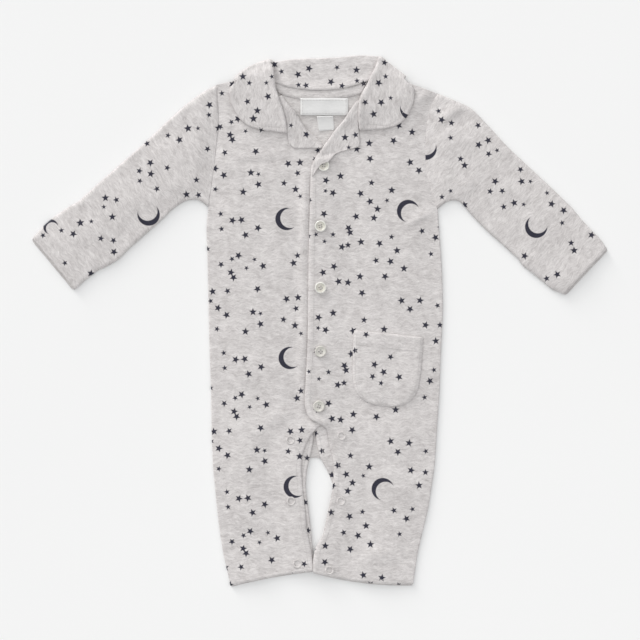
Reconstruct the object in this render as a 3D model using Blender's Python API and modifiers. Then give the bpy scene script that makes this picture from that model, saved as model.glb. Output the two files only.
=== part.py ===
"""A footless baby sleepsuit laid out flat on its back, front upwards.

The frame is in metres: X runs across the chest, Y runs from the hems to the collar and Z is up,
with the cloth resting on Z = 0. All named sizes and tables below are in millimetres.
"Left" and "right" are the viewer's, looking down on the front.
"""
import math

import bmesh
import bpy
import numpy as np
from mathutils import Vector
from mathutils.bvhtree import BVHTree

MM = 0.001

# ---- driving sizes -------------------------------------------------------------------------
CLOTH = 1.1             # one ply of interlock jersey
TWO_PLY = 1.6           # collar and pocket hem, two plies
TRIM = 1.0              # tape, labels and facings
SEAM_GAP = 0.5          # between neighbours at a seam, measured across it
LAYER_GAP = 0.4         # between a piece and what it lies on
FRONT_EASE = 1.2        # how far the fronts stand off the back in the middle
EASE_REACH = 30.0       # over this distance from an edge
BACK_HEM_DROP = 1.2     # the back hems show this far below the front hems
PLACKET_LAP = 26.0      # width of the fronts' lap, which stays down on what it lies on
FOLD_FADE = 8.0         # a fold dies away over this distance from an edge
SETTLE_PASSES = 6       # times that a laid piece's levels are evened out
PLAN_WELD = 0.01        # points closer than this are one

SLEEVE_MIDDLE = 1.6     # height of the fold line along each side of a sleeve
SLEEVE_TOP = 3.4        # height of a sleeve's upper ply beside its folds
SLEEVE_EASE = 1.0
SLEEVE_ROLL = 4.0       # how far from the fold the ply has turned level
SLEEVE_EASE_REACH = 35.0
CUFF_LIP = 2.6          # the under ply of each cuff shows this far beyond the upper one
SLEEVE_AROUND = 20

BUTTON_RADIUS = 5.5
BUTTON_THICK = 2.4
BUTTON_RIM = 1.3
BUTTON_DISH = 0.7
BUTTON_HOLE_RADIUS = 0.8
BUTTON_HOLE_OFFSET = 1.5
BUTTON_SIDES = 16
POPPER_RADIUS = 4.3
POPPER_BORE = 2.6
POPPER_THICK = 0.8
POPPER_SIDES = 16

BODY_SPACING = 14.0     # longest step between sections, body
TRIM_SPACING = 9.0      # the same, collar and trims
BODY_COLUMNS = 8

# ---- the body: a row for each section, hem to shoulder --------------------------------------
# side_x, side_y, front_x, front_y, front_bow, back_x, back_y, back_bow
# A section runs from the side (or armhole) to the piece's own centre edge; its bow lifts the
# middle towards the collar. Below the crotch the centre edge is the inner leg.
LEFT_HALF = (
    (-85.5, -251.5, -6.5, -237.0, 1.5, -6.5, -237.0, 1.5),       # hem
    (-88.0, -240.0, -7.3, -228.0, 1.0, -6.6, -228.0, 1.0),
    (-91.5, -225.0, -9.0, -216.0, 0.0, -7.8, -216.0, 0.0),
    (-95.0, -204.0, -12.3, -201.0, 0.0, -9.0, -200.5, 0.0),
    (-98.0, -180.0, -14.5, -179.0, 0.0, -11.5, -179.0, 0.0),      # knee
    (-100.3, -157.0, -17.0, -156.0, 0.0, -14.0, -155.0, 0.0),
    (-102.0, -139.5, -17.8, -139.0, 0.0, -13.4, -140.0, 0.0),
    (-102.6, -127.0, -16.6, -126.0, 0.0, -10.3, -130.2, 0.0),     # crotch hem of the back
    (-102.9, -120.0, -14.6, -120.0, 0.0, -4.5, -129.6, 0.0),
    (-103.2, -112.0, -9.8, -110.0, 0.0, -4.5, -119.0, 0.0),
    (-103.4, -103.0, -3.5, -102.0, 0.0, -4.5, -108.0, 0.0),
    (-103.5, -92.0, 4.0, -95.5, 0.0, -4.0, -97.0, 0.0),
    (-103.7, -79.0, 9.5, -87.0, 0.0, -3.0, -84.0, 0.0),
    (-103.9, -68.0, 10.5, -74.0, 0.0, -2.5, -71.0, 0.0),          # foot of the placket
    (-104.4, -53.0, 10.5, -56.0, 0.0, -1.8, -54.0, 0.0),
    (-105.0, -36.0, 10.5, -36.0, 0.0, -1.0, -36.0, 0.0),
    (-106.3, 15.0, 10.5, 15.0, 0.0, 0.0, 15.0, 0.0),              # waist
    (-107.3, 60.0, 10.5, 60.0, 0.0, 0.0, 60.0, 0.0),
    (-108.0, 92.0, 10.5, 98.0, 0.0, 0.0, 95.0, 0.0),
    (-106.0, 108.5, 10.5, 128.0, 0.0, 0.0, 120.0, 0.0),           # underarm
    (-103.3, 126.0, 8.5, 152.0, 0.0, 0.0, 140.0, 0.0),
    (-101.0, 143.5, 2.0, 167.5, 0.0, 0.0, 158.0, 1.0),
    (-98.0, 167.0, -14.5, 184.5, 0.0, 0.0, 176.0, 3.0),
    (-96.0, 186.0, -27.5, 203.5, 0.0, 0.0, 192.0, 5.0),
    (-96.5, 205.0, -41.0, 215.0, 0.0, 0.0, 206.0, 7.0),
    (-98.0, 224.5, -50.0, 235.3, 0.0, 0.0, 219.5, 9.0),           # shoulder
)
RIGHT_HALF = (
    (88.8, -250.3, -6.0, -238.6, -3.4, -5.5, -238.6, -3.4),
    (90.6, -238.0, -6.2, -228.0, -2.4, -5.2, -228.0, -2.4),
    (93.0, -222.0, -4.5, -217.5, -1.4, -3.0, -217.5, -1.4),
    (97.0, -204.0, 2.0, -205.0, -0.5, 3.5, -205.0, -0.5),
    (102.5, -181.0, 7.0, -184.0, 0.0, 8.5, -184.0, 0.0),
    (106.5, -157.0, 12.0, -159.0, 0.0, 13.2, -159.0, 0.0),
    (109.0, -139.5, 13.3, -143.0, 0.0, 7.5, -143.0, 0.0),
    (110.0, -127.0, 12.3, -128.5, 0.0, 1.0, -130.2, 0.0),
    (110.5, -120.0, 9.8, -120.0, 0.0, -4.5, -129.6, 0.0),
    (111.0, -112.0, 8.3, -112.0, 0.0, -4.5, -119.0, 0.0),
    (111.5, -103.0, 6.6, -103.0, 0.0, -4.5, -108.0, 0.0),
    (112.3, -92.0, 0.0, -97.5, 0.0, -4.0, -97.0, 0.0),
    (113.0, -81.0, -9.6, -91.8, 0.0, -3.0, -84.0, 0.0),
    (113.7, -71.0, -13.4, -82.5, 0.0, -2.5, -71.0, 0.0),
    (114.3, -54.0, -13.3, -60.0, 0.0, -1.8, -54.0, 0.0),
    (115.0, -36.0, -12.0, -36.0, 0.0, -1.0, -36.0, 0.0),
    (117.0, 15.0, -10.8, 15.0, 0.0, 0.0, 15.0, 0.0),
    (115.5, 60.0, -10.4, 60.0, 0.0, 0.0, 60.0, 0.0),
    (113.0, 92.0, -9.5, 98.0, 0.0, 0.0, 95.0, 0.0),
    (111.5, 106.5, -8.7, 130.0, 0.0, 0.0, 120.0, 0.0),
    (106.5, 120.0, -7.5, 147.0, 0.0, 0.0, 140.0, 0.0),
    (101.8, 138.0, -2.5, 157.0, 0.0, 0.0, 158.0, 1.0),
    (100.0, 160.0, 7.0, 169.0, 0.0, 0.0, 176.0, 3.0),
    (101.0, 186.0, 19.0, 186.0, 0.0, 0.0, 192.0, 5.0),
    (105.0, 204.5, 39.5, 210.0, 0.0, 0.0, 206.0, 7.0),
    (112.0, 216.0, 57.0, 235.8, 0.0, 0.0, 219.5, 9.0),
)
SIDE_X, SIDE_Y = 0, 1
FRONT = (2, 3, 4)
BACK = (5, 6, 7)
UNDERARM_ROW = 19
CROTCH_ROW = 8

# ---- sleeves: a row for each section, armhole to cuff ---------------------------------------
# upper_x, upper_y, lower_x, lower_y, bow (towards the cuff)
LEFT_SLEEVE = (
    (-98.0, 224.5, -106.0, 108.5, -4.5),
    (-111.0, 217.5, -115.0, 114.5, -3.0),
    (-125.5, 207.0, -126.0, 114.5, -1.0),
    (-140.5, 194.0, -137.0, 108.5, 0.0),
    (-159.5, 176.0, -152.0, 94.5, 0.0),
    (-180.5, 157.0, -168.0, 80.5, 0.0),
    (-202.5, 138.0, -183.5, 66.5, 0.0),
    (-222.0, 120.5, -193.5, 57.0, 0.0),
    (-230.5, 113.0, -199.0, 53.8, 0.0),       # edge of the turned-back cuff
    (-234.0, 111.3, -203.5, 51.4, 0.0),
    (-246.0, 103.5, -212.5, 47.0, 0.5),
    (-260.0, 93.0, -221.5, 39.8, 0.5),
    (-273.0, 79.0, -232.5, 30.2, 0.0),
)
RIGHT_SLEEVE = (
    (112.0, 216.0, 111.5, 106.5, -12.0),
    (127.0, 210.0, 121.5, 113.5, -8.0),
    (142.5, 202.5, 131.5, 114.0, -4.0),
    (158.5, 187.0, 143.0, 102.0, -1.0),
    (177.5, 166.5, 157.5, 87.0, 0.0),
    (197.5, 147.5, 171.5, 74.5, 0.0),
    (217.5, 129.0, 184.5, 62.5, 0.0),
    (235.0, 112.0, 190.0, 57.0, 0.0),
    (239.5, 107.7, 192.3, 53.0, 0.0),
    (244.0, 102.0, 197.5, 49.0, 0.0),
    (256.0, 88.5, 210.0, 39.0, 0.0),
    (267.5, 76.5, 222.0, 29.5, 0.0),
    (272.5, 69.0, 231.5, 25.5, 0.0),
)

# ---- collar: a row for each section ----------------------------------------------------------
# outer_x, outer_y, inner_x, inner_y, bow; from the shoulder fold down to the leaf's point
LEFT_LEAF = (
    (-82.0, 227.0, -49.6, 246.8, 2.5),
    (-85.0, 222.0, -45.7, 243.0, 1.5),
    (-85.5, 216.0, -44.0, 234.0, 0.5),
    (-84.5, 210.0, -43.5, 226.0, 0.0),
    (-83.0, 205.0, -42.0, 218.0, 0.0),
    (-80.5, 199.5, -39.5, 210.5, 0.0),
    (-77.0, 193.8, -37.0, 203.5, 0.0),
    (-72.5, 189.0, -34.5, 196.0, 0.0),
    (-66.5, 185.2, -32.9, 189.0, 0.0),
    (-58.0, 182.3, -31.8, 178.8, 0.0),
)
RIGHT_LEAF = (
    (84.8, 226.2, 56.0, 250.8, 1.0),
    (88.3, 222.0, 54.8, 245.5, 0.5),
    (89.0, 216.0, 51.5, 238.0, 0.0),
    (88.5, 210.0, 48.0, 229.5, 0.0),
    (87.5, 205.0, 45.0, 223.0, 0.0),
    (85.5, 200.0, 41.5, 217.0, 0.0),
    (82.0, 194.0, 38.6, 210.5, 0.0),
    (77.5, 189.3, 37.3, 201.0, 0.0),
    (71.5, 185.6, 37.3, 193.0, 0.0),
    (62.0, 183.2, 38.2, 181.2, 0.0),
)
# outer_x, outer_y, inner_x, inner_y, bow; from the gorge down, inner is the rolled V edge
LEFT_LAPEL = (
    (-39.3, 212.5, -37.2, 213.2, 0.0),
    (-37.3, 207.0, -32.0, 207.2, 0.0),
    (-34.6, 199.0, -26.0, 199.3, 0.0),
    (-32.3, 190.0, -20.0, 190.2, 0.0),
    (-31.2, 181.0, -14.0, 181.4, 0.0),
    (-30.2, 174.5, -9.0, 174.0, 0.0),
    (-28.8, 168.5, -2.6, 168.2, 0.0),
    (-24.5, 164.4, 2.0, 164.4, -0.3),
)
RIGHT_LAPEL = (
    (37.3, 209.0, 35.6, 208.3, 0.0),
    (36.7, 201.0, 29.8, 200.6, 0.0),
    (36.6, 190.0, 22.6, 189.8, 0.0),
    (36.8, 180.0, 14.4, 180.2, 0.0),
    (37.4, 171.0, 8.4, 171.4, 0.0),
    (37.3, 162.5, 2.6, 163.6, 0.0),
    (22.0, 161.8, -0.6, 158.5, 0.0),
    (15.0, 158.8, -2.4, 155.6, 0.0),
)
# roll_x, roll_y, edge_x, edge_y, bow; behind the neck from the left shoulder to the right
COLLAR_FALL = (
    (-81.0, 226.0, -79.0, 221.5, 0.0),
    (-70.0, 236.2, -66.0, 211.0, 0.0),
    (-57.0, 243.9, -50.0, 205.5, 0.0),
    (-47.0, 246.3, -40.0, 203.8, 0.0),
    (-31.0, 245.7, -27.0, 202.4, 0.0),
    (-14.0, 246.8, -13.0, 201.7, 0.0),
    (12.0, 247.8, 11.0, 201.7, 0.0),
    (32.0, 250.2, 28.0, 202.4, 0.0),
    (47.0, 251.4, 39.0, 204.0, 0.0),
    (57.5, 249.4, 48.0, 205.5, 0.0),
    (67.5, 241.6, 63.0, 209.5, 0.0),
    (77.5, 233.0, 75.0, 215.0, 0.0),
    (83.0, 226.5, 81.0, 221.5, 0.0),
)
# roll_x, roll_y, seam_x, seam_y, bow; the stand inside the back neck
COLLAR_STAND = (
    (-48.0, 246.6, -45.5, 230.0, 0.0),
    (-38.0, 245.4, -35.0, 225.6, 0.0),
    (-23.5, 246.9, -21.0, 221.6, 0.0),
    (-9.0, 247.1, -8.5, 220.1, 0.0),
    (6.0, 247.4, 5.5, 220.0, 0.0),
    (22.0, 249.1, 20.0, 221.6, 0.0),
    (38.0, 251.3, 37.0, 226.2, 0.0),
    (54.6, 251.0, 50.5, 231.5, 0.0),
)
# outer_x, outer_y, inner_x, inner_y, bow; the fold that carries stand and leaves into the fall
COLLAR_ROLL = (
    (-74.0, 234.6, -73.0, 233.0, 0.0),
    (-61.0, 243.5, -60.0, 241.4, 0.0),
    (-49.0, 247.8, -48.4, 245.6, 0.0),
    (-38.0, 246.5, -37.9, 244.1, 0.0),
    (-23.5, 248.0, -23.4, 245.6, 0.0),
    (1.0, 248.2, 1.2, 245.8, 0.0),
    (25.0, 250.5, 25.2, 248.1, 0.0),
    (38.0, 252.4, 38.2, 250.0, 0.0),
    (54.0, 252.4, 53.4, 250.0, 0.0),
    (62.7, 247.2, 61.0, 245.4, 0.0),
    (76.0, 235.9, 74.6, 234.3, 0.0),
)
COLLAR_ROLL_FOOT = 0.5  # its lowest level, inside the fall's thickness
COLLAR_ROLL_TOP = 5.6

# ---- trims -----------------------------------------------------------------------------------
# upper_x, upper_y, lower_x, lower_y, bow; along the back neck seam, left to right
NECK_TAPE = (
    (-44.5, 228.6, -39.5, 216.4, 0.0),
    (-33.0, 223.8, -31.0, 213.6, 0.0),
    (-21.0, 220.9, -20.5, 211.3, 0.0),
    (-8.5, 219.4, -8.5, 210.5, 0.0),
    (5.5, 219.3, 5.5, 210.5, 0.0),
    (20.0, 220.9, 19.5, 212.0, 0.0),
    (33.0, 223.9, 30.0, 213.5, 0.0),
    (45.5, 229.0, 39.8, 216.0, 0.0),
)
# left_x, left_y, right_x, right_y, bow; top to bottom
LARGE_LABEL = (
    (-18.5, 211.6, 26.6, 211.6, 0.0),
    (-18.5, 195.6, 26.6, 195.6, 0.0),
)
SMALL_LABEL = (
    (-3.0, 194.6, 12.4, 194.9, 0.0),
    (-1.0, 180.5, 13.8, 181.9, 0.0),
)
POCKET = (
    (32.5, -9.0, 98.0, -16.0, 0.0),
    (31.6, -22.0, 97.3, -28.0, 0.0),
    (31.0, -38.0, 96.0, -44.0, 0.0),
    (31.0, -52.0, 94.2, -58.0, 0.0),
    (32.4, -62.0, 91.5, -67.5, 0.0),
    (36.0, -69.5, 86.5, -75.3, 0.0),
    (42.5, -75.8, 79.0, -79.6, 0.0),
    (52.0, -80.0, 68.0, -81.5, 0.0),
)
# outer_x, outer_y, inner_x, inner_y, bow; up the inner leg from the hem, over the back's crotch
LEFT_FACING = (
    (-19.5, -238.7, -6.5, -237.0, 0.0),
    (-19.6, -229.0, -6.6, -228.0, 0.0),
    (-20.8, -217.0, -7.8, -216.0, 0.0),
    (-22.0, -201.5, -9.0, -200.5, 0.0),
    (-24.5, -180.0, -11.5, -179.0, 0.0),
    (-27.0, -154.0, -14.0, -155.0, 0.0),
    (-25.5, -137.0, -12.6, -140.0, 0.0),
    (-23.2, -127.5, -10.5, -131.2, 0.0),
    (-21.7, -120.8, -8.8, -123.8, 0.0),
    (-20.0, -113.0, -7.0, -114.9, 0.0),
    (-19.9, -105.5, -6.9, -106.4, 0.0),
)
RIGHT_FACING = (
    (7.5, -240.4, -5.5, -238.6, 0.0),
    (7.8, -229.4, -5.2, -228.0, 0.0),
    (9.8, -219.8, -3.0, -217.5, 0.0),
    (16.2, -207.5, 3.5, -205.0, 0.0),
    (21.4, -185.8, 8.5, -184.0, 0.0),
    (26.2, -159.0, 13.2, -159.0, 0.0),
    (23.8, -138.5, 8.8, -144.4, 0.0),
    (20.6, -127.0, 4.1, -135.9, 0.0),
    (18.4, -119.5, 0.7, -129.1, 0.0),
    (17.4, -113.0, -1.1, -122.3, 0.0),
    (16.6, -107.5, -2.8, -114.9, 0.0),
    (16.0, -102.0, -4.1, -108.0, 0.0),
)

# centre_x, centre_y
BUTTONS = ((3.5, 147.5), (0.5, 90.0), (0.5, 31.5), (0.5, -29.0), (-1.0, -81.0))
LEFT_POPPERS = ((-28.0, -113.0), (-27.5, -171.0), (-21.5, -230.5))
RIGHT_POPPERS = ((20.5, -109.0), (20.0, -171.0), (9.0, -236.5))

# ---- the largest folds: soft ridges in the upper plies ---------------------------------------
# from_x, from_y, to_x, to_y, height, half_width
FOLDS = (
    (110.0, 104.0, 82.0, 85.0, 1.8, 6.0),         # right underarm
    (106.0, 216.0, 90.0, 199.0, 1.3, 6.0),        # right shoulder
    (141.0, 200.0, 114.0, 184.0, 1.8, 7.0),       # right sleeve head
    (122.0, 117.0, 150.0, 140.0, 1.2, 8.0),       # right sleeve underarm
    (-118.0, 118.0, -146.0, 146.0, 1.2, 8.0),     # left sleeve underarm
    (-104.0, 108.0, -74.0, 92.0, 1.2, 7.0),       # left underarm
    (-92.0, 214.0, -84.0, 176.0, 0.9, 7.0),       # left armhole
    (-80.0, 150.0, -40.0, 156.0, 0.7, 6.0),       # left chest
    (30.0, -232.0, 78.0, -222.0, 1.2, 7.0),       # right hem
    (-75.0, -226.0, -35.0, -214.0, 0.9, 7.0),     # left hem
    (22.0, -96.0, 62.0, -112.0, 0.9, 8.0),        # right crotch
    (-22.0, -88.0, -60.0, -106.0, 0.9, 8.0),      # left crotch
)

# ---- colours ---------------------------------------------------------------------------------
MARL = (0.645, 0.622, 0.612)
REVERSE = (0.665, 0.645, 0.635)
LABEL = (0.74, 0.73, 0.72)
PEARL = (0.78, 0.77, 0.74)


def material(name, colour, roughness):
    """A plain Principled material."""
    made = bpy.data.materials.new(name)
    made.use_nodes = True
    shader = made.node_tree.nodes["Principled BSDF"]
    shader.inputs["Base Color"].default_value = (*colour, 1.0)
    shader.inputs["Roughness"].default_value = roughness
    return made


def collection(name):
    made = bpy.data.collections.new(name)
    bpy.context.scene.collection.children.link(made)
    return made


# ---- sections and grids ----------------------------------------------------------------------
def parts_between(tables, spacing):
    """How many steps each interval of some matching tables takes to stay within the spacing."""
    parts = []
    for row in range(len(tables[0]) - 1):
        longest = 0.0
        for table in tables:
            step = np.subtract(table[row + 1], table[row])
            ends = (math.hypot(step[0], step[1]), math.hypot(step[2], step[3]))
            longest = max(longest, *ends)
        parts.append(max(1, math.ceil(longest / spacing)))
    return parts


def smoothed(table, parts):
    """The table's rows with rows between them, on a smooth curve through every column."""
    rows = np.array(table, dtype=float)
    slopes = np.gradient(rows, axis=0)
    steps = np.linalg.norm(np.diff(rows[:, :4], axis=0), axis=1)
    for row in range(1, len(rows) - 1):
        before, after = steps[row - 1], steps[row]
        rise = (rows[row] - rows[row - 1]) / before * after
        run = (rows[row + 1] - rows[row]) / after * before
        slopes[row] = (rise + run) / (before + after)
    slopes[0] = (rows[1] - rows[0]) / steps[0]
    slopes[-1] = (rows[-1] - rows[-2]) / steps[-1]
    result = [rows[0]]
    for row, count in enumerate(parts):
        for step in range(1, count + 1):
            u = step / count
            start = (1 + 2 * u) * (1 - u) ** 2 * rows[row]
            leave = u * (1 - u) ** 2 * steps[row] * slopes[row]
            end = u * u * (3 - 2 * u) * rows[row + 1]
            arrive = u * u * (u - 1) * steps[row] * slopes[row + 1]
            result.append(start + leave + end + arrive)
    return np.array(result)


def section_grid(rows, columns):
    """Points in plan: each row runs from its first point to its second, with its bow."""
    grid = np.zeros((len(rows), columns + 1, 2))
    for index, (start_x, start_y, end_x, end_y, bow) in enumerate(rows):
        start = np.array((start_x, start_y))
        end = np.array((end_x, end_y))
        along = (end - start) / np.linalg.norm(end - start)
        across = np.array((-along[1], along[0]))
        if across[1] < 0:
            across = -across
        for column in range(columns + 1):
            t = column / columns
            grid[index, column] = start + (end - start) * t + across * bow * 4 * t * (1 - t)
    return grid


def table_grid(table, spacing, columns):
    return section_grid(smoothed(table, parts_between([table], spacing)), columns)


def smooth_step(value):
    value = min(max(value, 0.0), 1.0)
    return value * value * (3 - 2 * value)


def fold_height(x, y):
    """How far the folds raise the upper ply at a place."""
    height = 0.0
    for from_x, from_y, to_x, to_y, rise, half_width in FOLDS:
        run = np.array((to_x - from_x, to_y - from_y))
        reach = np.array((x - from_x, y - from_y))
        t = min(max(float(reach @ run) / float(run @ run), 0.0), 1.0)
        distance = float(np.linalg.norm(reach - run * t))
        taper = 0.35 + 0.65 * math.sin(math.pi * (0.1 + 0.8 * t))
        height += rise * taper * math.exp(-(distance / half_width) ** 2)
    return height


# ---- laying one piece on another -------------------------------------------------------------
def surface_of(thing):
    """A search tree of an object's shape, modifiers included."""
    evaluated = thing.evaluated_get(bpy.context.evaluated_depsgraph_get())
    mesh = bmesh.new()
    mesh.from_mesh(evaluated.to_mesh())
    mesh.transform(thing.matrix_world)
    tree = BVHTree.FromBMesh(mesh)
    mesh.free()
    evaluated.to_mesh_clear()
    return tree


def top_at(trees, x, y):
    """The highest level of the pieces under a place, in millimetres, or 0 on the floor."""
    highest = 0.0
    for tree in trees:
        hit = tree.ray_cast(Vector((x * MM, y * MM, 0.1)), Vector((0, 0, -1)))[0]
        if hit is not None:
            highest = max(highest, hit.z / MM)
    return highest


def level_over(trees, x, y, reach):
    """The level that clears everything within reach of a place."""
    highest = top_at(trees, x, y)
    for ring in (0.5, 1.0):
        for direction in range(8):
            angle = math.radians(45 * direction)
            near_x = x + reach * ring * math.cos(angle)
            near_y = y + reach * ring * math.sin(angle)
            highest = max(highest, top_at(trees, near_x, near_y))
    return highest + LAYER_GAP if highest > 0 else 0.0


def draped(grid, under, reach):
    """Heights of a piece's underside: clear of what is under it, and eased between."""
    trees = [surface_of(thing) for thing in under]
    rows, columns = grid.shape[:2]
    needed = np.zeros((rows, columns))
    for row in range(rows):
        for column in range(columns):
            needed[row, column] = level_over(trees, *grid[row, column], reach)
    heights = needed.copy()
    for _ in range(SETTLE_PASSES):
        padded = np.pad(heights, 1, mode="edge")
        around = padded[:-2, 1:-1] + padded[2:, 1:-1] + padded[1:-1, :-2] + padded[1:-1, 2:]
        heights = np.maximum(needed, around / 4)
    return heights


def eased(grid, heights, ease, reach, spare_end=0.0):
    """Stand the middle of a piece off what it lies on, and raise its folds.

    spare_end keeps a strip along the rows' ends, such as a lapped edge, without ease.
    """
    result = heights.copy()
    rows, columns = grid.shape[:2]
    for row in range(rows):
        for column in range(columns):
            x, y = grid[row, column]
            from_start = math.dist(grid[row, column], grid[row, 0])
            from_end = math.dist(grid[row, column], grid[row, -1]) - spare_end
            near = min(from_start, from_end)
            share = smooth_step(near / reach)
            fade = smooth_step(near / FOLD_FADE)
            result[row, column] += ease * share + fold_height(x, y) * fade
    return result


def add_sheet(mesh, grid, heights):
    """Add a grid of faces to a mesh, its points at the given plan places and heights."""
    rows, columns = grid.shape[:2]
    made = bmesh.ops.create_grid(mesh, x_segments=columns - 1, y_segments=rows - 1, size=1.0)
    order = sorted(made["verts"], key=lambda vert: (round(vert.co.y, 5), round(vert.co.x, 5)))
    for index, vert in enumerate(order):
        row, column = divmod(index, columns)
        x, y = grid[row, column]
        vert.co = (x * MM, y * MM, heights[row, column] * MM)


def cloth(name, grids, undersides, wall, finish, home):
    """A closed wall of cloth over one or more grids that share their common edge."""
    mesh = bmesh.new()
    for grid, heights in zip(grids, undersides):
        add_sheet(mesh, grid, heights)
    bmesh.ops.remove_doubles(mesh, verts=mesh.verts, dist=PLAN_WELD * MM)
    bmesh.ops.recalc_face_normals(mesh, faces=mesh.faces)
    raised = bmesh.ops.extrude_face_region(mesh, geom=list(mesh.faces), use_keep_orig=True)
    for item in raised["geom"]:
        if isinstance(item, bmesh.types.BMVert):
            item.co.z += wall * MM
    bmesh.ops.triangulate(mesh, faces=mesh.faces)
    bmesh.ops.recalc_face_normals(mesh, faces=mesh.faces)
    data = bpy.data.meshes.new(name)
    mesh.to_mesh(data)
    mesh.free()
    data.materials.append(finish)
    thing = bpy.data.objects.new(name, data)
    home.objects.link(thing)
    bpy.context.view_layer.update()
    return thing


# ---- pieces ----------------------------------------------------------------------------------
def half_rows(table, columns, parts, hem_drop=0.0):
    """Sections of one half of the body, for its front or its back."""
    centre_x, centre_y, bow = columns
    rows = [(row[SIDE_X], row[SIDE_Y], row[centre_x], row[centre_y], row[bow]) for row in table]
    side_x, side_y, end_x, end_y, hem_bow = rows[0]
    rows[0] = (side_x, side_y - hem_drop, end_x, end_y - hem_drop, hem_bow)
    return smoothed(rows, parts)


def make_back(parts, fall, finish, home):
    grids = []
    undersides = []
    for table in (LEFT_HALF, RIGHT_HALF):
        grid = section_grid(half_rows(table, BACK, parts, BACK_HEM_DROP), BODY_COLUMNS)
        grids.append(grid)
        undersides.append(draped(grid, [fall], BODY_SPACING))
    crotch = sum(parts[:CROTCH_ROW])
    middle_line = (grids[0][crotch:, -1] + grids[1][crotch:, -1]) / 2
    middle_level = np.maximum(undersides[0][crotch:, -1], undersides[1][crotch:, -1])
    for grid, heights in zip(grids, undersides):
        grid[crotch:, -1] = middle_line
        heights[crotch:, -1] = middle_level
    return cloth("back", grids, undersides, CLOTH, finish, home)


def make_front(name, table, parts, under, finish, home):
    """A front with its leg."""
    grid = section_grid(half_rows(table, FRONT, parts), BODY_COLUMNS)
    heights = draped(grid, under, BODY_SPACING)
    heights = eased(grid, heights, FRONT_EASE, EASE_REACH, PLACKET_LAP)
    return cloth(name, [grid], [heights], CLOTH, finish, home)


def make_trim(name, table, columns, under, reach, wall, finish, home):
    """A smaller piece that lies on others."""
    grid = table_grid(table, TRIM_SPACING, columns)
    return cloth(name, [grid], [draped(grid, under, reach)], wall, finish, home)


def make_roll(finish, home):
    """The collar's fold as an upright strip that its other parts run into."""
    grid = table_grid(COLLAR_ROLL, TRIM_SPACING, 1)
    foot = np.full(grid.shape[:2], COLLAR_ROLL_FOOT)
    height = COLLAR_ROLL_TOP - COLLAR_ROLL_FOOT
    return cloth("collar_roll", [grid], [foot], height, finish, home)


def join_into(thing, others):
    """Unite the other solids into one; they stay behind as hidden tools."""
    for other in others:
        union = thing.modifiers.new("join_" + other.name, "BOOLEAN")
        union.operation = "UNION"
        union.solver = "EXACT"
        union.object = other
        other.hide_render = True
        other.display_type = "WIRE"


def sleeve_ring(row, wall_inset, lip):
    """The points round one section of a sleeve; wall_inset moves them in by the wall."""
    upper = np.array(row[0:2])
    lower = np.array(row[2:4])
    width = np.linalg.norm(lower - upper)
    down = (lower - upper) / width
    outward = np.array((down[1], -down[0]))
    if outward[0] * upper[0] < 0:
        outward = -outward
    half = SLEEVE_AROUND // 2
    roll = SLEEVE_ROLL - wall_inset
    ring = []
    for index in range(SLEEVE_AROUND):
        on_top = index <= half
        step = index if on_top else SLEEVE_AROUND - index
        t = (1 - math.cos(math.pi * step / half)) / 2
        distance = wall_inset + (width - 2 * wall_inset) * t
        from_fold = min(distance, width - distance)
        turned = min((from_fold - wall_inset) / roll, 1.0)
        share = math.sqrt(1 - (1 - turned) ** 2)
        place = upper + down * distance + outward * row[4] * 4 * t * (1 - t)
        if on_top:
            rise = SLEEVE_EASE * smooth_step(from_fold / SLEEVE_EASE_REACH)
            rise += fold_height(*place) * smooth_step(from_fold / FOLD_FADE)
            level = SLEEVE_TOP + rise - wall_inset - SLEEVE_MIDDLE
            ring.append((*place, SLEEVE_MIDDLE + level * share))
        else:
            place = place + outward * lip * share
            ring.append((*place, SLEEVE_MIDDLE - (SLEEVE_MIDDLE - wall_inset) * share))
    return ring


def make_sleeve(name, table, armhole, finish, home):
    """A flattened open tube; its first section is the armhole seam of the body."""
    parts = parts_between([table], BODY_SPACING)
    rows = smoothed(table, parts)
    rings = [sleeve_ring(row, 0.0, 0.0) for row in rows[:-1]]
    rings.append(sleeve_ring(rows[-1], 0.0, CUFF_LIP))
    rings.append(sleeve_ring(rows[-1], CLOTH, CUFF_LIP))
    rings += [sleeve_ring(row, CLOTH, 0.0) for row in rows[-2::-1]]
    fit_to_armhole(rings[0], armhole)
    fit_to_armhole(rings[-1], armhole)
    mesh = bmesh.new()
    verts = [[mesh.verts.new(Vector(point) * MM) for point in ring] for ring in rings]
    for ring in range(len(verts)):
        following = verts[(ring + 1) % len(verts)]
        for point in range(SLEEVE_AROUND):
            beside = (point + 1) % SLEEVE_AROUND
            corners = (verts[ring][point], verts[ring][beside], following[beside], following[point])
            mesh.faces.new(corners)
    bmesh.ops.triangulate(mesh, faces=mesh.faces)
    bmesh.ops.recalc_face_normals(mesh, faces=mesh.faces)
    data = bpy.data.meshes.new(name)
    mesh.to_mesh(data)
    mesh.free()
    data.materials.append(finish)
    thing = bpy.data.objects.new(name, data)
    home.objects.link(thing)
    return thing


def fit_to_armhole(ring, armhole):
    """Move a ring's points in plan onto the armhole curve, a seam's gap away from the body."""
    away = math.copysign(SEAM_GAP, armhole[0][0])
    heights = [point[1] for point in armhole]
    places = [point[0] for point in armhole]
    for index, (_x, y, z) in enumerate(ring):
        ring[index] = (float(np.interp(y, heights, places)) + away, y, z)


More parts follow.
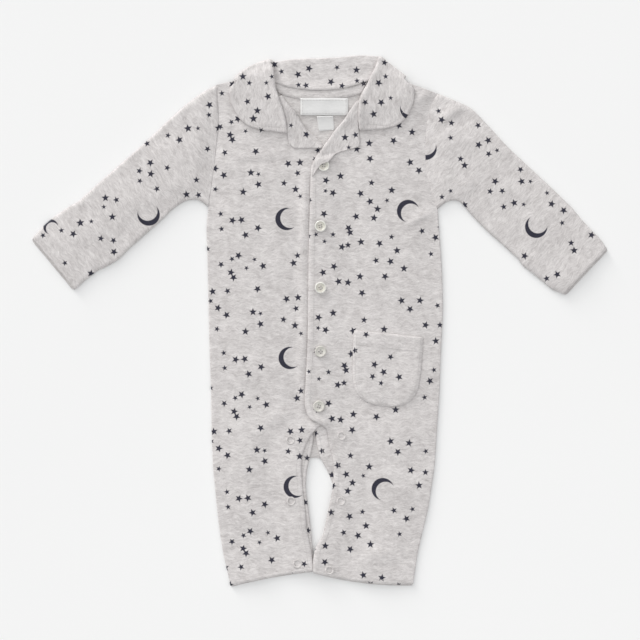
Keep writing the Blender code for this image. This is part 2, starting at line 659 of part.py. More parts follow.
def button_cutter(home):
    """Four upright pins where the thread goes through a button."""
    mesh = bmesh.new()
    for index in range(4):
        angle = math.radians(45 + 90 * index)
        made = bmesh.ops.create_cone(
            mesh, cap_ends=True, segments=6, radius1=BUTTON_HOLE_RADIUS * MM,
            radius2=BUTTON_HOLE_RADIUS * MM, depth=2 * BUTTON_THICK * MM)
        offset = Vector((math.cos(angle), math.sin(angle), 0)) * BUTTON_HOLE_OFFSET * MM
        bmesh.ops.translate(mesh, verts=made["verts"], vec=offset)
    data = bpy.data.meshes.new("button_holes")
    mesh.to_mesh(data)
    mesh.free()
    thing = bpy.data.objects.new("button_holes", data)
    thing.hide_render = True
    thing.display_type = "WIRE"
    home.objects.link(thing)
    return thing


def turned(name, profile, closed, sides, finish, home):
    """A turned piece from a profile of (radius, height) pairs down its outer side."""
    mesh = bmesh.new()
    verts = [mesh.verts.new((radius * MM, 0, height * MM)) for radius, height in profile]
    for first, second in zip(verts, verts[1:]):
        mesh.edges.new((first, second))
    if closed:
        mesh.edges.new((verts[-1], verts[0]))
    data = bpy.data.meshes.new(name)
    mesh.to_mesh(data)
    mesh.free()
    data.materials.append(finish)
    thing = bpy.data.objects.new(name, data)
    home.objects.link(thing)
    screw = thing.modifiers.new("turn", "SCREW")
    screw.steps = sides
    screw.render_steps = sides
    screw.use_merge_vertices = True
    screw.merge_threshold = 0.00001
    return thing


def make_button(name, place, under, cutter, finish, home):
    low = BUTTON_THICK - BUTTON_RIM
    profile = (
        (0.0, BUTTON_THICK - BUTTON_DISH),
        (BUTTON_RADIUS - 2 * BUTTON_RIM, BUTTON_THICK - BUTTON_DISH),
        (BUTTON_RADIUS - 1.5 * BUTTON_RIM, BUTTON_THICK),
        (BUTTON_RADIUS - 0.5 * BUTTON_RIM, BUTTON_THICK),
        (BUTTON_RADIUS, low),
        (BUTTON_RADIUS - BUTTON_RIM, 0.0),
        (0.0, 0.0),
    )
    thing = turned(name, profile, False, BUTTON_SIDES, finish, home)
    holes = thing.modifiers.new("holes", "BOOLEAN")
    holes.operation = "DIFFERENCE"
    holes.solver = "EXACT"
    level = level_over([surface_of(piece) for piece in under], *place, BUTTON_RADIUS)
    thing.location = (place[0] * MM, place[1] * MM, level * MM)
    own_cutter = bpy.data.objects.new(name + "_holes", cutter.data)
    own_cutter.location = thing.location
    own_cutter.hide_render = True
    own_cutter.display_type = "WIRE"
    cutter.users_collection[0].objects.link(own_cutter)
    holes.object = own_cutter
    return thing


def make_popper(name, place, front, finish, home):
    profile = (
        (POPPER_RADIUS, POPPER_THICK),
        (POPPER_RADIUS, 0.0),
        (POPPER_BORE, 0.0),
        (POPPER_BORE, POPPER_THICK),
    )
    thing = turned(name, profile, True, POPPER_SIDES, finish, home)
    level = level_over([surface_of(front)], *place, POPPER_RADIUS)
    thing.location = (place[0] * MM, place[1] * MM, level * MM)
    return thing


def main():
    for thing in list(bpy.data.objects):
        bpy.data.objects.remove(thing, do_unlink=True)
    home = collection("footless_sleepsuit")
    tools = collection("cutters")
    marl = material("marl_jersey", MARL, 0.9)
    reverse = material("marl_reverse", REVERSE, 0.9)
    label = material("label_satin", LABEL, 0.6)
    pearl = material("button_pearl", PEARL, 0.3)

    parts = parts_between([LEFT_HALF, RIGHT_HALF], BODY_SPACING)
    collar = make_trim("collar", COLLAR_FALL, 3, [], 1.0, TWO_PLY, marl, home)
    back = make_back(parts, collar, reverse, home)
    facings = [make_trim("leg_facing_left", LEFT_FACING, 2, [back], 4.0, TRIM, marl, home),
               make_trim("leg_facing_right", RIGHT_FACING, 2, [back], 4.0, TRIM, marl, home)]
    tape = make_trim("neck_tape", NECK_TAPE, 2, [back], 5.0, TRIM, reverse, home)
    large_label = make_trim("label_main", LARGE_LABEL, 4, [back, tape], 5.0, TRIM, label, home)
    make_trim("label_size", SMALL_LABEL, 2, [back], 5.0, TRIM, label, home)

    lining = [back, tape, large_label, *facings]
    left = make_front("front_left", LEFT_HALF, parts, lining, marl, home)
    right = make_front("front_right", RIGHT_HALF, parts, [*lining, left], marl, home)
    make_trim("lapel_left", LEFT_LAPEL, 3, [left], 6.0, CLOTH, marl, home)
    make_trim("lapel_right", RIGHT_LAPEL, 3, [left, right], 6.0, CLOTH, marl, home)
    make_trim("pocket", POCKET, 6, [right], 9.0, CLOTH, marl, home)

    stand = make_trim("collar_stand", COLLAR_STAND, 3, [back], 9.0, CLOTH, marl, tools)
    leaves = [make_trim("collar_leaf_left", LEFT_LEAF, 5, [left], 8.0, TWO_PLY, marl, tools),
              make_trim("collar_leaf_right", RIGHT_LEAF, 5, [right], 8.0, TWO_PLY, marl, tools)]
    join_into(collar, [make_roll(marl, tools), stand, *leaves])

    start = sum(parts[:UNDERARM_ROW])
    for name, table, sleeve in (("sleeve_left", LEFT_HALF, LEFT_SLEEVE),
                                ("sleeve_right", RIGHT_HALF, RIGHT_SLEEVE)):
        armhole = half_rows(table, FRONT, parts)[start:, :2]
        make_sleeve(name, sleeve, armhole, marl, home)

    cutter = button_cutter(tools)
    for index, place in enumerate(BUTTONS):
        make_button(f"button_{index + 1}", place, [right], cutter, pearl, home)
    for side, front, places in (("left", left, LEFT_POPPERS), ("right", right, RIGHT_POPPERS)):
        for index, place in enumerate(places):
            make_popper(f"popper_{side}_{index + 1}", place, front, marl, home)


main()
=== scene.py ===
"""The looks of a footless baby sleepsuit that lies flat on its back, front upwards.

Every cloth piece is a thin closed shell on the form of its solid, with its folds, seams and
stitching. Sizes and tables are in millimetres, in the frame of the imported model. "Left" and
"right" are the viewer's. The rows of a table leave out the zeros that would end them.
"""
import math

import bpy
import numpy as np
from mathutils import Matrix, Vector
from mathutils.bvhtree import BVHTree


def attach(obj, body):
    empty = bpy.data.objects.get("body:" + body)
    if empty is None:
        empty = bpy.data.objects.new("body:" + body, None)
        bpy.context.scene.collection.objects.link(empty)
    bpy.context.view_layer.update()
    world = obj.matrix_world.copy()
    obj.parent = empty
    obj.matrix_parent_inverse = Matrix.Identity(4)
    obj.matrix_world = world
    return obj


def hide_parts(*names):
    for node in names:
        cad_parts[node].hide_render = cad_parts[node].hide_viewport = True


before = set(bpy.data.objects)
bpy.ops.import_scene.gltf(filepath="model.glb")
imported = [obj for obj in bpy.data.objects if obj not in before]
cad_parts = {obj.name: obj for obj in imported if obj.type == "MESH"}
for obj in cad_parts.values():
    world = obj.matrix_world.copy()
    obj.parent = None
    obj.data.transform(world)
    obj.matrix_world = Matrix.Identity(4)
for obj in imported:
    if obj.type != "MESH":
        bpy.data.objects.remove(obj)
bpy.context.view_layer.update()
MM = 0.001

# ---- driving sizes ----
CLOTH = 1.0             # one ply of interlock jersey
TWO_PLY = 1.5           # collar leaves
TRIM = 0.8              # neck tape
LABEL = 0.6
FACING = 1.4            # leg facings, their edges turned in
SEAM_GAP = 0.12
LAYER_GAP = 0.25        # between a piece and what it lies on
SIDE_ROLL = 1.35        # radius in which a front turns down to the floor along its side
SIDE_TURN = 145         # degrees that it turns there beyond the turn of a sewn edge
SEAM_TURN = 20
SEAM_ROLL = 0.3         # radius of a piece's edge where it is sewn to its neighbour
SHOULDER_TURN = 80
SIDE_CLEAR = 0.12       # how far a rolled side ends above the floor
LEAST_ROLL = 0.08       # of the inner side of a wall, in a roll
SIDE_STEPS, SHOULDER_STEPS, LAPEL_STEPS, COLLAR_STEPS = 7, 3, 7, 12
INSET_ROWS = 4          # rows over which a side passes into the armhole
SEAM_DIP = 0.15         # depth and half width of the dip along an armhole seam
SEAM_WIDTH = 1.6
SEAM_REACH = 20.0       # over this distance a sleeve leaves the level of its armhole
FRONT_EASE = 1.3
EASE_REACH = 30.0
PLACKET_LAP = 26.0
FOLD_FADE = 7.0
BACK_INSET = 1.7        # the back's sides stay inside the fronts' rolled sides
BACK_HEM_DROP = 1.2

SLEEVE_MIDDLE = 1.6
SLEEVE_TOP = 3.4
SLEEVE_EASE = 1.2
SLEEVE_ROLL = 4.0
SLEEVE_EASE_REACH = 35.0
SLEEVE_LEAST = -0.4     # no crease of a sleeve is deeper
CUFF_LIP = 2.0
CUFF_LIP_ROWS = 6
CUFF_EDGE_ROW = 8       # the row of each sleeve's table at the edge of its cuff
SLEEVE_AROUND = 96
SLEEVE_HALF = SLEEVE_AROUND // 2
SLEEVE_ROUND, SLEEVE_EVEN = 0.35, 0.65  # shares of round and even spacing of its points
SLEEVE_FADE = 4.0       # points beside a fold over which relief fades

BODY_SPACING = 2.6
BODY_COLUMNS = 40
BACK_SPACING = 5.0
BACK_COLUMNS = 20
TRIM_SPACING = 1.8
RIM = 0.42              # how far a free edge swells, as a share of the wall
SEWN_RIM = 0.06
TRIM_RIM = 0.3
FACING_COLUMNS, LAPEL_COLUMNS, POCKET_COLUMNS = 10, 16, 36
TAPE_COLUMNS, LARGE_COLUMNS, SMALL_COLUMNS = 8, 26, 12
STAND_COLUMNS, LEAF_COLUMNS = 14, 26
FALL_ROWS = 8

# turned edges: a ridge's height and width
PLACKET_BEAD = (0.7, 2.0)
HEM_BEAD = (0.3, 1.5)
FACING_BEAD = (0.2, 1.2)
CUFF_BEAD = (0.35, 1.4)
LEAF_BEAD, LEAF_ROLL_BEAD = (0.4, 1.5), (0.3, 2.0)
LAPEL_BEAD, LAPEL_ROLL_BEAD = (0.25, 1.2), (0.3, 1.6)
# rows of stitches and steps: distance in from the edge, depth and half width of the groove
PLACKET_SEAM = (4.6, 0.3, 0.9)
HEM_SEAM = (4.0, 0.2, 0.8)
FACING_SEAM = (3.2, 0.15, 0.7)
CUFF_STEP, CUFF_SEAM = (-0.9, 0.45, 0.8), (4.0, 0.15, 0.8)
LEAF_SEAM = (5.0, 0.25, 0.8)
STAND_SEAM = (2.6, 0.12, 0.7)
POCKET_SEAM, POCKET_HEM_SEAM = (2.8, 0.15, 0.7), (13.2, 0.2, 0.8)
TRIM_SEAM = (2.0, 0.08, 0.6)
# edges that thin out: depth and width
LEG_THIN = (0.15, 1.2)
STAND_THIN = (0.5, 2.2)
TRIM_THIN = (0.35, 1.2)             # its depth is a share of the thickness
POCKET_EDGE, POCKET_RISE = 0.15, 3.4
POCKET_HEM = (0.2, 12.0, 1.6)       # extra height, the hem's depth, and the step's width
POCKET_RIPPLE_REACH = 6.0
PLACKET_FOOT, PLACKET_RISE = -104.0, 10.0   # where the relief of its edge sets in
LEAF_FULLNESS = (0.7, 7.0)          # height, and the distance over which it comes up
LEAF_ROLL = (0.9, 6.0)              # the same of the roll along the neck
LEAF_ROLL_FROM, LEAF_ROLL_RISE = 204.0, 14.0
LAPEL_TURN = 150
LAPEL_FADE = 0.25                   # thickness at which a lapel has sunk into the edge
LAPEL_ROLL = (0.35, 1.35, 0.6)      # least radius, what is added, and over what thickness
POPPER_DIMPLE = (0.35, 2.0)         # depth and width
POPPER_RIM = (0.15, 5.5, 1.5)       # height, radius and width

CREASE_TAPER = (0.08, 0.84, 1.4)    # where a crease starts on a sine, its run, and the power
WAVES, WAVE_RANGE = 9, (0.6, 1.7)   # how many slow waves, and their length beside the mean
WAVE_SCALE = 3.0
# seed, wave, stretch and height of the slow unevenness of each piece
RIPPLES = {
    "front_left": ((3, 62, 1.6, 0.42), (5, 17, 3, 0.1)),
    "front_right": ((11, 62, 1.6, 0.42), (12, 17, 3, 0.1)),
    "sleeve": ((21, 46, 1, 0.35), (22, 15, 1, 0.08)),
    "leaf": ((31, 40, 1, 0.25),), "stand": ((33, 34, 1.2, 0.2),), "lapel": ((41, 30, 1, 0.15),),
    "pocket": ((51, 35, 1, 0.2),), "trim": ((61, 20, 1, 0.1),),
}

# Of each cloth piece: the node that it stands for, the width and length of its cut, the turn of
# its wales in degrees, and its slot where that isn't the printed jersey's; only the node and the
# turn are used.
CUTS = {
    "back_cloth": ("back", 226, 490, 0, "jersey_plain"),
    "front_left_cloth": ("front_left", 130, 490, 0),
    "front_right_cloth": ("front_right", 135, 490, 0),
    "sleeve_left_cloth": ("sleeve_left", 240, 235, -53),
    "sleeve_right_cloth": ("sleeve_right", 240, 235, 48),
    "collar_left": ("collar", 75, 100, 90),
    "collar_right": ("collar", 75, 100, 90),
    "collar_stand": ("collar", 115, 85, 0),
    "lapel_left_cloth": ("lapel_left", 30, 54, 80),
    "lapel_right_cloth": ("lapel_right", 38, 72, 80),
    "pocket_cloth": ("pocket", 68, 90, -3),
    "facing_left": ("leg_facing_left", 25, 140, 0),
    "facing_right": ("leg_facing_right", 25, 140, 0),
    "tape_cloth": ("neck_tape", 14, 98, 0),
    "label_large": ("label_main", 46, 18.5, 0, "label"),
    "label_small": ("label_size", 17.5, 15, 0, "label"),
}

# ---- the body: a row for each section, hem to shoulder ----
# side_x, side_y, front_x, front_y, bow of the front
LEFT_HALF = (
    (-85.5, -251.5, -6.5, -237, 1.5), (-88, -240, -7.3, -228, 1), (-91.5, -225, -9, -216),
    (-95, -204, -12.3, -201), (-98, -180, -14.5, -179), (-100.3, -157, -17, -156),
    (-102, -139.5, -17.8, -139), (-102.6, -127, -16.6, -126), (-102.9, -120, -14.6, -120),
    (-103.2, -112, -9.8, -110), (-103.4, -103, -3.5, -102), (-103.5, -92, 4, -95.5),
    (-103.7, -79, 9.5, -87), (-103.9, -68, 10.5, -74), (-104.4, -53, 10.5, -56),
    (-105, -36, 10.5, -36), (-106.3, 15, 10.5, 15), (-107.3, 60, 10.5, 60), (-108, 92, 10.5, 98),
    (-106, 108.5, 10.5, 128), (-103.3, 126, 8.5, 152), (-101, 143.5, 2, 167.5),
    (-98, 167, -14.5, 184.5), (-96, 186, -27.5, 203.5), (-96.5, 205, -41, 215),
    (-98, 224.5, -50, 235.3),
)
RIGHT_HALF = (
    (88.8, -250.3, -6, -238.6, -3.4), (90.6, -238, -6.2, -228, -2.4),
    (93, -222, -4.5, -217.5, -1.4), (97, -204, 2, -205, -0.5), (102.5, -181, 7, -184),
    (106.5, -157, 12, -159), (109, -139.5, 13.3, -143), (110, -127, 12.3, -128.5),
    (110.5, -120, 9.8, -120), (111, -112, 8.3, -112), (111.5, -103, 6.6, -103),
    (112.3, -92, 0, -97.5), (113, -81, -9.6, -91.8), (113.7, -71, -13.4, -82.5),
    (114.3, -54, -13.3, -60), (115, -36, -12, -36), (117, 15, -10.8, 15), (115.5, 60, -10.4, 60),
    (113, 92, -9.5, 98), (111.5, 106.5, -8.7, 130), (106.5, 120, -7.5, 147),
    (101.8, 138, -2.5, 157), (100, 160, 7, 169), (101, 186, 19, 186), (105, 204.5, 39.5, 210),
    (112, 216, 57, 235.8),
)
# x, y, bow: where the back's sections end, on the inner legs and then up its middle
LEFT_LEG = (
    (-6.5, -237, 1.5), (-6.6, -228, 1), (-7.8, -216), (-9, -200.5), (-11.5, -179), (-14, -155),
    (-13.4, -140), (-10.3, -130.2),
)
RIGHT_LEG = (
    (-5.5, -238.6, -3.4), (-5.2, -228, -2.4), (-3, -217.5, -1.4), (3.5, -205, -0.5), (8.5, -184),
    (13.2, -159), (7.5, -143), (1, -130.2),
)
BACK_CENTRE = (
    (-4.5, -129.6), (-4.5, -119), (-4.5, -108), (-4, -97), (-3, -84), (-2.5, -71), (-1.8, -54),
    (-1, -36), (0, 15), (0, 60), (0, 95), (0, 120), (0, 140), (0, 158, 1), (0, 176, 3),
    (0, 192, 5), (0, 206, 7), (0, 219.5, 9),
)
UNDERARM_ROW = 19

# ---- sleeves: a row for each section, armhole to cuff ----
# upper_x, upper_y, lower_x, lower_y, bow (towards the cuff)
LEFT_SLEEVE = (
    (-98, 224.5, -106, 108.5, -4.5), (-111, 217.5, -115, 114.5, -3),
    (-125.5, 207, -126, 114.5, -1), (-140.5, 194, -137, 108.5), (-159.5, 176, -152, 94.5),
    (-180.5, 157, -168, 80.5), (-202.5, 138, -183.5, 66.5), (-222, 120.5, -193.5, 57),
    (-230.5, 113, -199, 53.8), (-234, 111.3, -203.5, 51.4), (-246, 103.5, -212.5, 47, 0.5),
    (-260, 93, -221.5, 39.8, 0.5), (-273, 79, -232.5, 30.2),
)
RIGHT_SLEEVE = (
    (112, 216, 111.5, 106.5, -12), (127, 210, 121.5, 113.5, -8), (142.5, 202.5, 131.5, 114, -4),
    (158.5, 187, 143, 102, -1), (177.5, 166.5, 157.5, 87), (197.5, 147.5, 171.5, 74.5),
    (217.5, 129, 184.5, 62.5), (235, 112, 190, 57), (239.5, 107.7, 192.3, 53),
    (244, 102, 197.5, 49), (256, 88.5, 210, 39), (267.5, 76.5, 222, 29.5),
    (272.5, 69, 231.5, 25.5),
)

# ---- collar ----
# outer_x, outer_y, inner_x, inner_y, bow; from the shoulder fold down to the leaf's point
LEFT_LEAF = (
    (-81, 225.3, -46.5, 245.2, 5.6), (-84, 221.8, -45, 240, 4), (-85.4, 216, -44.3, 233.5, 2),
    (-84.5, 210, -43.5, 226), (-83, 205, -42, 218), (-80.5, 199.5, -39.5, 210.5),
    (-77, 193.8, -37, 203.5), (-72.5, 189, -34.5, 196), (-66.5, 185.2, -32.9, 189),
    (-58, 182.3, -31.8, 178.8),
)
RIGHT_LEAF = (
    (83.2, 225.9, 56.2, 248.8, 1.6), (87.8, 221.8, 54.8, 244, 0.8), (89, 215, 51.5, 237),
    (88.5, 210, 48, 229.5), (87.5, 205, 45, 223), (85.5, 200, 41.5, 217), (82, 194, 38.6, 210.5),
    (77.5, 189.3, 37.3, 201), (71.5, 185.6, 37.3, 193), (62, 183.2, 38.2, 181.2),
)
# roll_x, roll_y, seam_x, seam_y; the stand inside the back neck, left to right
COLLAR_STAND = (
    (-53, 245.4, -48, 229), (-38, 245.6, -35, 223.8), (-23.5, 247.5, -21, 220.6),
    (-9, 248.2, -8.5, 219.2), (6, 248.6, 5.5, 219.2), (22, 249.7, 20, 220.8), (38, 251.4, 37, 225),
    (58, 250.4, 52.5, 230.5),
)
# roll_x, edge_x, edge_y; the fall's lower edge behind the neck, left to right
COLLAR_FALL = (
    (-85, -80, 220.5), (-70, -66, 211), (-57, -50, 205.5), (-47, -40, 203.8), (-31, -27, 202.4),
    (-14, -13, 201.7), (12, 11, 201.7), (32, 28, 202.4), (47, 39, 204), (57.5, 48, 205.5),
    (67.5, 63, 209.5), (85, 81, 221),
)
FALL_FOLD = ((-85, -50, 0, 55, 85), (222, 244, 246, 248, 222))    # x and y of its upper edge
FALL_TUCK = 0.08        # the stand's fall lies so much inside the leaves' falls
# outer_x, outer_y, inner_x, inner_y, thickness; from the gorge down, inner is the rolled V edge;
# below 155 the right one is a tongue that fades into the edge
LEFT_LAPEL = (
    (-39.3, 212.5, -37.6, 213.2, 1), (-37.3, 207, -33, 207.2, 1), (-34.6, 199, -27, 199.3, 1),
    (-32.3, 190, -21, 190.2, 1), (-31.2, 181, -15, 181.4, 1), (-30.2, 174.5, -10.4, 174, 1),
    (-28.8, 168.5, -4, 168.2, 1), (-24.5, 164.4, 0.8, 164.4, 1),
)
RIGHT_LAPEL = (
    (37.3, 209, 36.5, 208.3, 1), (36.7, 201, 30.8, 200.6, 1), (36.6, 190, 23.8, 189.8, 1),
    (36.8, 180, 15.5, 180.2, 1), (37.4, 171, 9.4, 171.4, 1), (37, 166.4, 5.6, 166.4, 1),
    (28.5, 163.4, 2.2, 161.4, 0.95), (19, 160.8, -0.2, 157.8, 0.85),
    (14.2, 158.2, -1.8, 155, 0.75), (10.7, 154.3, -3.6, 152, 0.65), (7.7, 151, -5, 149, 0.55),
    (4.8, 150, -5.6, 147.2, 0.5), (1, 148.6, -6.2, 145.5, 0.45), (-1.8, 145.2, -6.8, 143, 0.38),
    (-4.6, 141.5, -7.2, 140, 0.32), (-6, 138.5, -7.5, 137.5, 0.25),
)

# ---- trims ----
# upper_x, upper_y, lower_x, lower_y; along the back neck seam, left to right
NECK_TAPE = (
    (-44.5, 228.6, -39.5, 216.4), (-33, 223.8, -31, 213.6), (-21, 220.9, -20.5, 211.3),
    (-8.5, 219.4, -8.5, 210.5), (5.5, 219.3, 5.5, 210.5), (20, 220.9, 19.5, 212),
    (33, 223.9, 30, 213.5), (45.5, 229, 39.8, 216),
)
# left_x, left_y, right_x, right_y; top to bottom
LARGE_LABEL = (
    (-18.5, 211.6, 26.6, 211.6), (-18.5, 195.6, 26.6, 195.6),
)
SMALL_LABEL = (
    (-3, 194.6, 12.4, 194.9), (-1, 180.5, 13.8, 181.9),
)
POCKET = (
    (32.5, -9, 98, -16), (31.6, -22, 97.3, -28), (31, -38, 96, -44), (31, -52, 94.2, -58),
    (32.4, -62, 91.5, -67.5), (36, -69.5, 86.5, -75.3), (42.5, -75.8, 79, -79.6),
    (52, -80, 68, -81.5),
)
# outer_x, outer_y, inner_x, inner_y; up the inner leg from the hem, over the back's crotch
LEFT_FACING = (
    (-19.5, -238.7, -6.5, -237), (-19.6, -229, -6.6, -228), (-20.8, -217, -7.8, -216),
    (-22, -201.5, -9, -200.5), (-24.5, -180, -11.5, -179), (-27, -154, -14, -155),
    (-25.5, -137, -12.6, -140), (-23.2, -127.5, -10.5, -131.2), (-21.7, -120.8, -8.8, -123.8),
    (-20, -113, -7, -114.9), (-19.9, -105.5, -6.9, -106.4),
)
RIGHT_FACING = (
    (7.5, -240.4, -5.5, -238.6), (7.8, -229.4, -5.2, -228), (9.8, -219.8, -3, -217.5),
    (16.2, -207.5, 3.5, -205), (21.4, -185.8, 8.5, -184), (26.2, -159, 13.2, -159),
    (23.8, -138.5, 8.8, -144.4), (20.6, -127, 4.1, -135.9), (18.4, -119.5, 0.7, -129.1),
    (17.4, -113, -1.1, -122.3), (16.6, -107.5, -2.8, -114.9), (16, -102, -4.1, -108),
    (15, -97, -3.8, -103), (13.5, -91.5, -0.8, -97),
)
# centre_x, centre_y
BUTTONS = ((3.5, 147.5), (0.5, 90), (0.5, 31.5), (0.5, -29), (-1, -81))
POPPERS = {
    "left": ((-28, -113), (-27.5, -171), (-21.5, -230.5)),
    "right": ((20.5, -109), (20, -171), (9, -236.5)),
}
# radius, height: from the middle of the dish over the rim to the middle of the back
BUTTON_PROFILE = (
    (0, 1.45), (2.6, 1.45), (3.3, 1.6), (3.9, 2), (4.4, 2.3), (4.8, 2.35), (5.2, 2.2), (5.45, 1.8),
    (5.5, 1.3), (5.2, 0.7), (4.5, 0.25), (3.6, 0), (0, 0),
)
BUTTON_SIDES = 48
BUTTON_DISHED = 3       # rings of the profile inside the rim
BUTTON_GAP = 0.15
BUTTON_TURN = 17        # degrees from one button to the next
HOLE_OFFSET = 1.45
HOLE_RADIUS = 0.62
HOLE_SIDES = 14
HOLE_ENDS = (-1.0, 4.0)
HOLE_CREASE = 40        # degrees at which an edge of a button is sharp
TIE_HEIGHT, TIE_SHIFT, TIE_RADIUS, TIE_ARCH = 1.2, 0.18, 0.22, 0.55     # thread in the holes
BUTTON_COVER = (5.4, 2.3, 24)       # radius, height and sides of what a lapel rests on
POPPER_RING = (3.45, 0.85, 0.38)    # middle radius, half width, half thickness
POPPER_STEPS = (40, 12)
POPPER_RISE = 0.1                   # of its half thickness
STITCH = 2.3
STITCH_GAP = 0.7
STITCH_RADIUS = 0.16
STITCH_RISE = 0.35                  # of its radius
STITCH_ARCH = 0.1
TAPE_INSET, LARGE_INSET, SMALL_INSET = 1.6, 1.9, 1.2    # of the stitches from the edge
BAR_SIDES, BAR_RINGS, BAR_POWER, BAR_LEAST = 6, 7, 4, 0.04      # a stitch and its blunt ends

# ---- creases ----
# from_x, from_y, to_x, to_y, bend, height, half_width; a trough has a height below zero
# underarm, armhole (2), chest (2), hem, crotch, and beside the placket from its top (5)
LEFT_CREASES = (
    (-104, 108, -74, 92, 3, 1, 7), (-92, 214, -86, 170, 2, 0.8, 5),
    (-88, 212, -82, 176, 2, -0.5, 3), (-88, 156, -30, 160, -2, 0.5, 4),
    (-84, 148, -36, 150, 2, -0.4, 3), (-75, -226, -35, -214, 3, 0.9, 8),
    (-22, -88, -60, -106, -3, 0.9, 8), (-14, 158, -15.2, 70, 0.6, 2.8, 3.2),
    (-15.2, 98, -16.2, 20, -0.8, 1.7, 3.2), (-15.9, 44, -16, -30, 0.7, 1.8, 3.3),
    (-16.2, -4, -17.7, -66, -0.5, 1.8, 3.4), (-17.7, -46, -16.8, -92, 0.9, 2.2, 3.3),
)
# underarm (2), shoulder (2), hem, crotch
RIGHT_CREASES = (
    (113, 105, 82, 84, -2, 1.7, 6.5), (110, 100, 80, 81, -2, -1.3, 2.6),
    (106.4, 217.6, 88.4, 200.5, -2, 1.5, 4.5), (102, 212, 84, 192, -2, -0.5, 3),
    (30, -232, 78, -222, 4, 1.2, 8), (22, -96, 62, -112, 3, 0.9, 8),
)
# right sleeve head (2), right underarm, left underarm
SLEEVE_CREASES = (
    (142, 206.5, 110, 186.5, -1.5, 2, 4.6), (144, 198.5, 112, 178.5, -1.5, -0.9, 3.6),
    (122, 117, 150, 140, -3, 1.2, 8), (-118, 118, -146, 146, 3, 1.2, 8),
)
STAND_CREASES = (
    (-35, 247, -23, 231, 1.5, 1.4, 3.4), (-30.5, 245, -19, 230, 1.5, -0.6, 2.2),
    (-45, 246, -38, 224, 0, -0.5, 4), (46, 247, 36, 230, -2, 0.8, 4),
)

# ---- the print: small stars and crescent moons, charted on squares of one size ----
SQUARE = 0.95
STAR_RADIUS = (1.45, 1.85, 2.3, 2.85, 3.15)     # sizes 0 to 4
STAR_WAIST = 0.45                               # inner radius as a share of the outer one
STAR_TURNS = (47, 31, 72)   # degrees for each place in a chart, for each size, and their round
INK_SPREAD = 0.38           # how far the ink has run into the cloth, in millimetres
INK_SOFTNESS = 0.28         # half the width over which a motif's edge fades
LEAST_SLANT = 0.12          # steeper faces aren't printed
NO_MOTIF = (9.0, 9.0, 1.0)  # a place far outside any star
MOON_RADIUS = 10.2
MOON_BITE_RADIUS = 0.95                         # of the moon's radius
MOON_BITE_OFFSET = 0.35
# stars: across, up, size; moons: across, up, opening (degrees from +X), share of the full radius
LEFT_STARS = (
    (-99.5, 107, 1), (-87.5, 100.5, 3), (-78.5, 101, 3), (-98.5, 92, 1), (-62, 93, 3),
    (-74.5, 86, 3), (-112.5, 72, 1), (-81.5, 65.5, 3), (-88, 62, 1), (-99, 56.5, 2),
    (-65.5, 61.5, 0), (-57, 55, 3), (-73.5, 53, 0), (-22.5, 65.5, 2), (-26.5, 58, 3),
    (-89, 48.5, 3), (-86.5, 43.5, 3), (-107.5, 29.5, 3), (-92.5, 30, 2), (-62.5, 32, 3),
    (-109.5, 20, 1), (-102, 13, 3), (-33.5, 22, 3), (-22, 23.5, 3), (-24, 12.5, 2), (-93.5, 6, 3),
    (-67, 9, 3), (-59.5, 7.5, 0), (-36.5, 1.5, 2), (-25, -4.5, 3), (-19, -12.5, 0), (-59.5, -3, 3),
    (-74.5, -10.5, 3), (-103, -8, 1),
)
LEFT_MOONS = ((-33.5, 102, 13, 1),)
LEFT_REPEAT = (3.2, -139)
RIGHT_STARS = (
    (20.5, 145, 3), (6, 140.5, 3), (51.5, 139, 2), (5.5, 130, 0), (13, 128, 3), (40.5, 127.5, 3),
    (71.5, 130.5, 3), (67, 120.5, 0), (50, 119.5, 3), (57.5, 112, 3), (4, 107, 3), (36, 104.5, 3),
    (54, 103, 3), (28.5, 93, 3), (30, 88.5, 3), (13, 86.5, 1), (-4, 86.5, 0), (4.5, 79.5, 0),
    (22, 74, 3), (28, 76, 2), (41, 79, 3), (71.5, 84, 1), (59.5, 77.5, 3), (77, 70.5, 3),
    (102, 90, 2), (115.5, 83.5, 3), (111, 67, 1), (56, 60.5, 2), (70.5, 59.5, 3), (84, 52.5, 3),
    (14, 54.5, 3), (3, 48.5, 3), (40, 44.5, 3), (65, 44.5, 3), (18.5, 39.5, 3), (28, 38.5, 3),
    (42, 28, 3), (81.5, 20.5, 3), (100, 20.5, 3), (90, 12, 3), (117.5, 15.5, 1), (-11.5, 85, 1),
    (-10.5, 120.5, 1), (120, 94, 1), (113, 133, 3), (127.4, 133, 2), (123, 119, 3),
)
RIGHT_MOONS = ((88, 110, -41, 1),)
RIGHT_REPEAT = (-7.4, -137)
REPEATS = (-1, 0, 1, 2, 3)
# once only, off the repeat
LEFT_ODD_STARS = ((-15.8, -242.8, 2), (-2.2, 170.8, 2), (-5, 162, 1))
RIGHT_ODD_STARS = ((13.2, -164.5, 2),)
LEFT_SLEEVE_STARS = (
    (-214.5, 123, 3), (-203.5, 121, 2), (-216, 114, 0), (-207.5, 104, 3), (-239.5, 98, 4),
    (-228.5, 99.5, 0), (-258.5, 90.5, 1), (-246.5, 87, 3), (-219, 82.5, 2), (-206.5, 80.5, 2),
    (-206, 69, 3), (-255, 58, 1), (-229, 47.5, 3), (-169.5, 158, 3), (-180.5, 150, 2),
    (-169, 147, 3), (-180, 140, 1), (-152.5, 153, 2), (-163, 132, 2), (-123.5, 141, 2),
    (-133.5, 126.5, 3), (-121.5, 126, 2), (-110.5, 216, 3), (-111, 206, 1), (-132, 192.5, 4),
    (-122, 192.5, 0), (-101.5, 193, 3), (-152, 185.5, 1), (-140.5, 181, 3), (-112.5, 172, 2),
    (-173, 177.5, 2), (-277, 85.5, 1),
)
LEFT_SLEEVE_MOONS = ((-171.3, 106.4, 105, 1), (-269.3, 94.2, -48, 0.66))
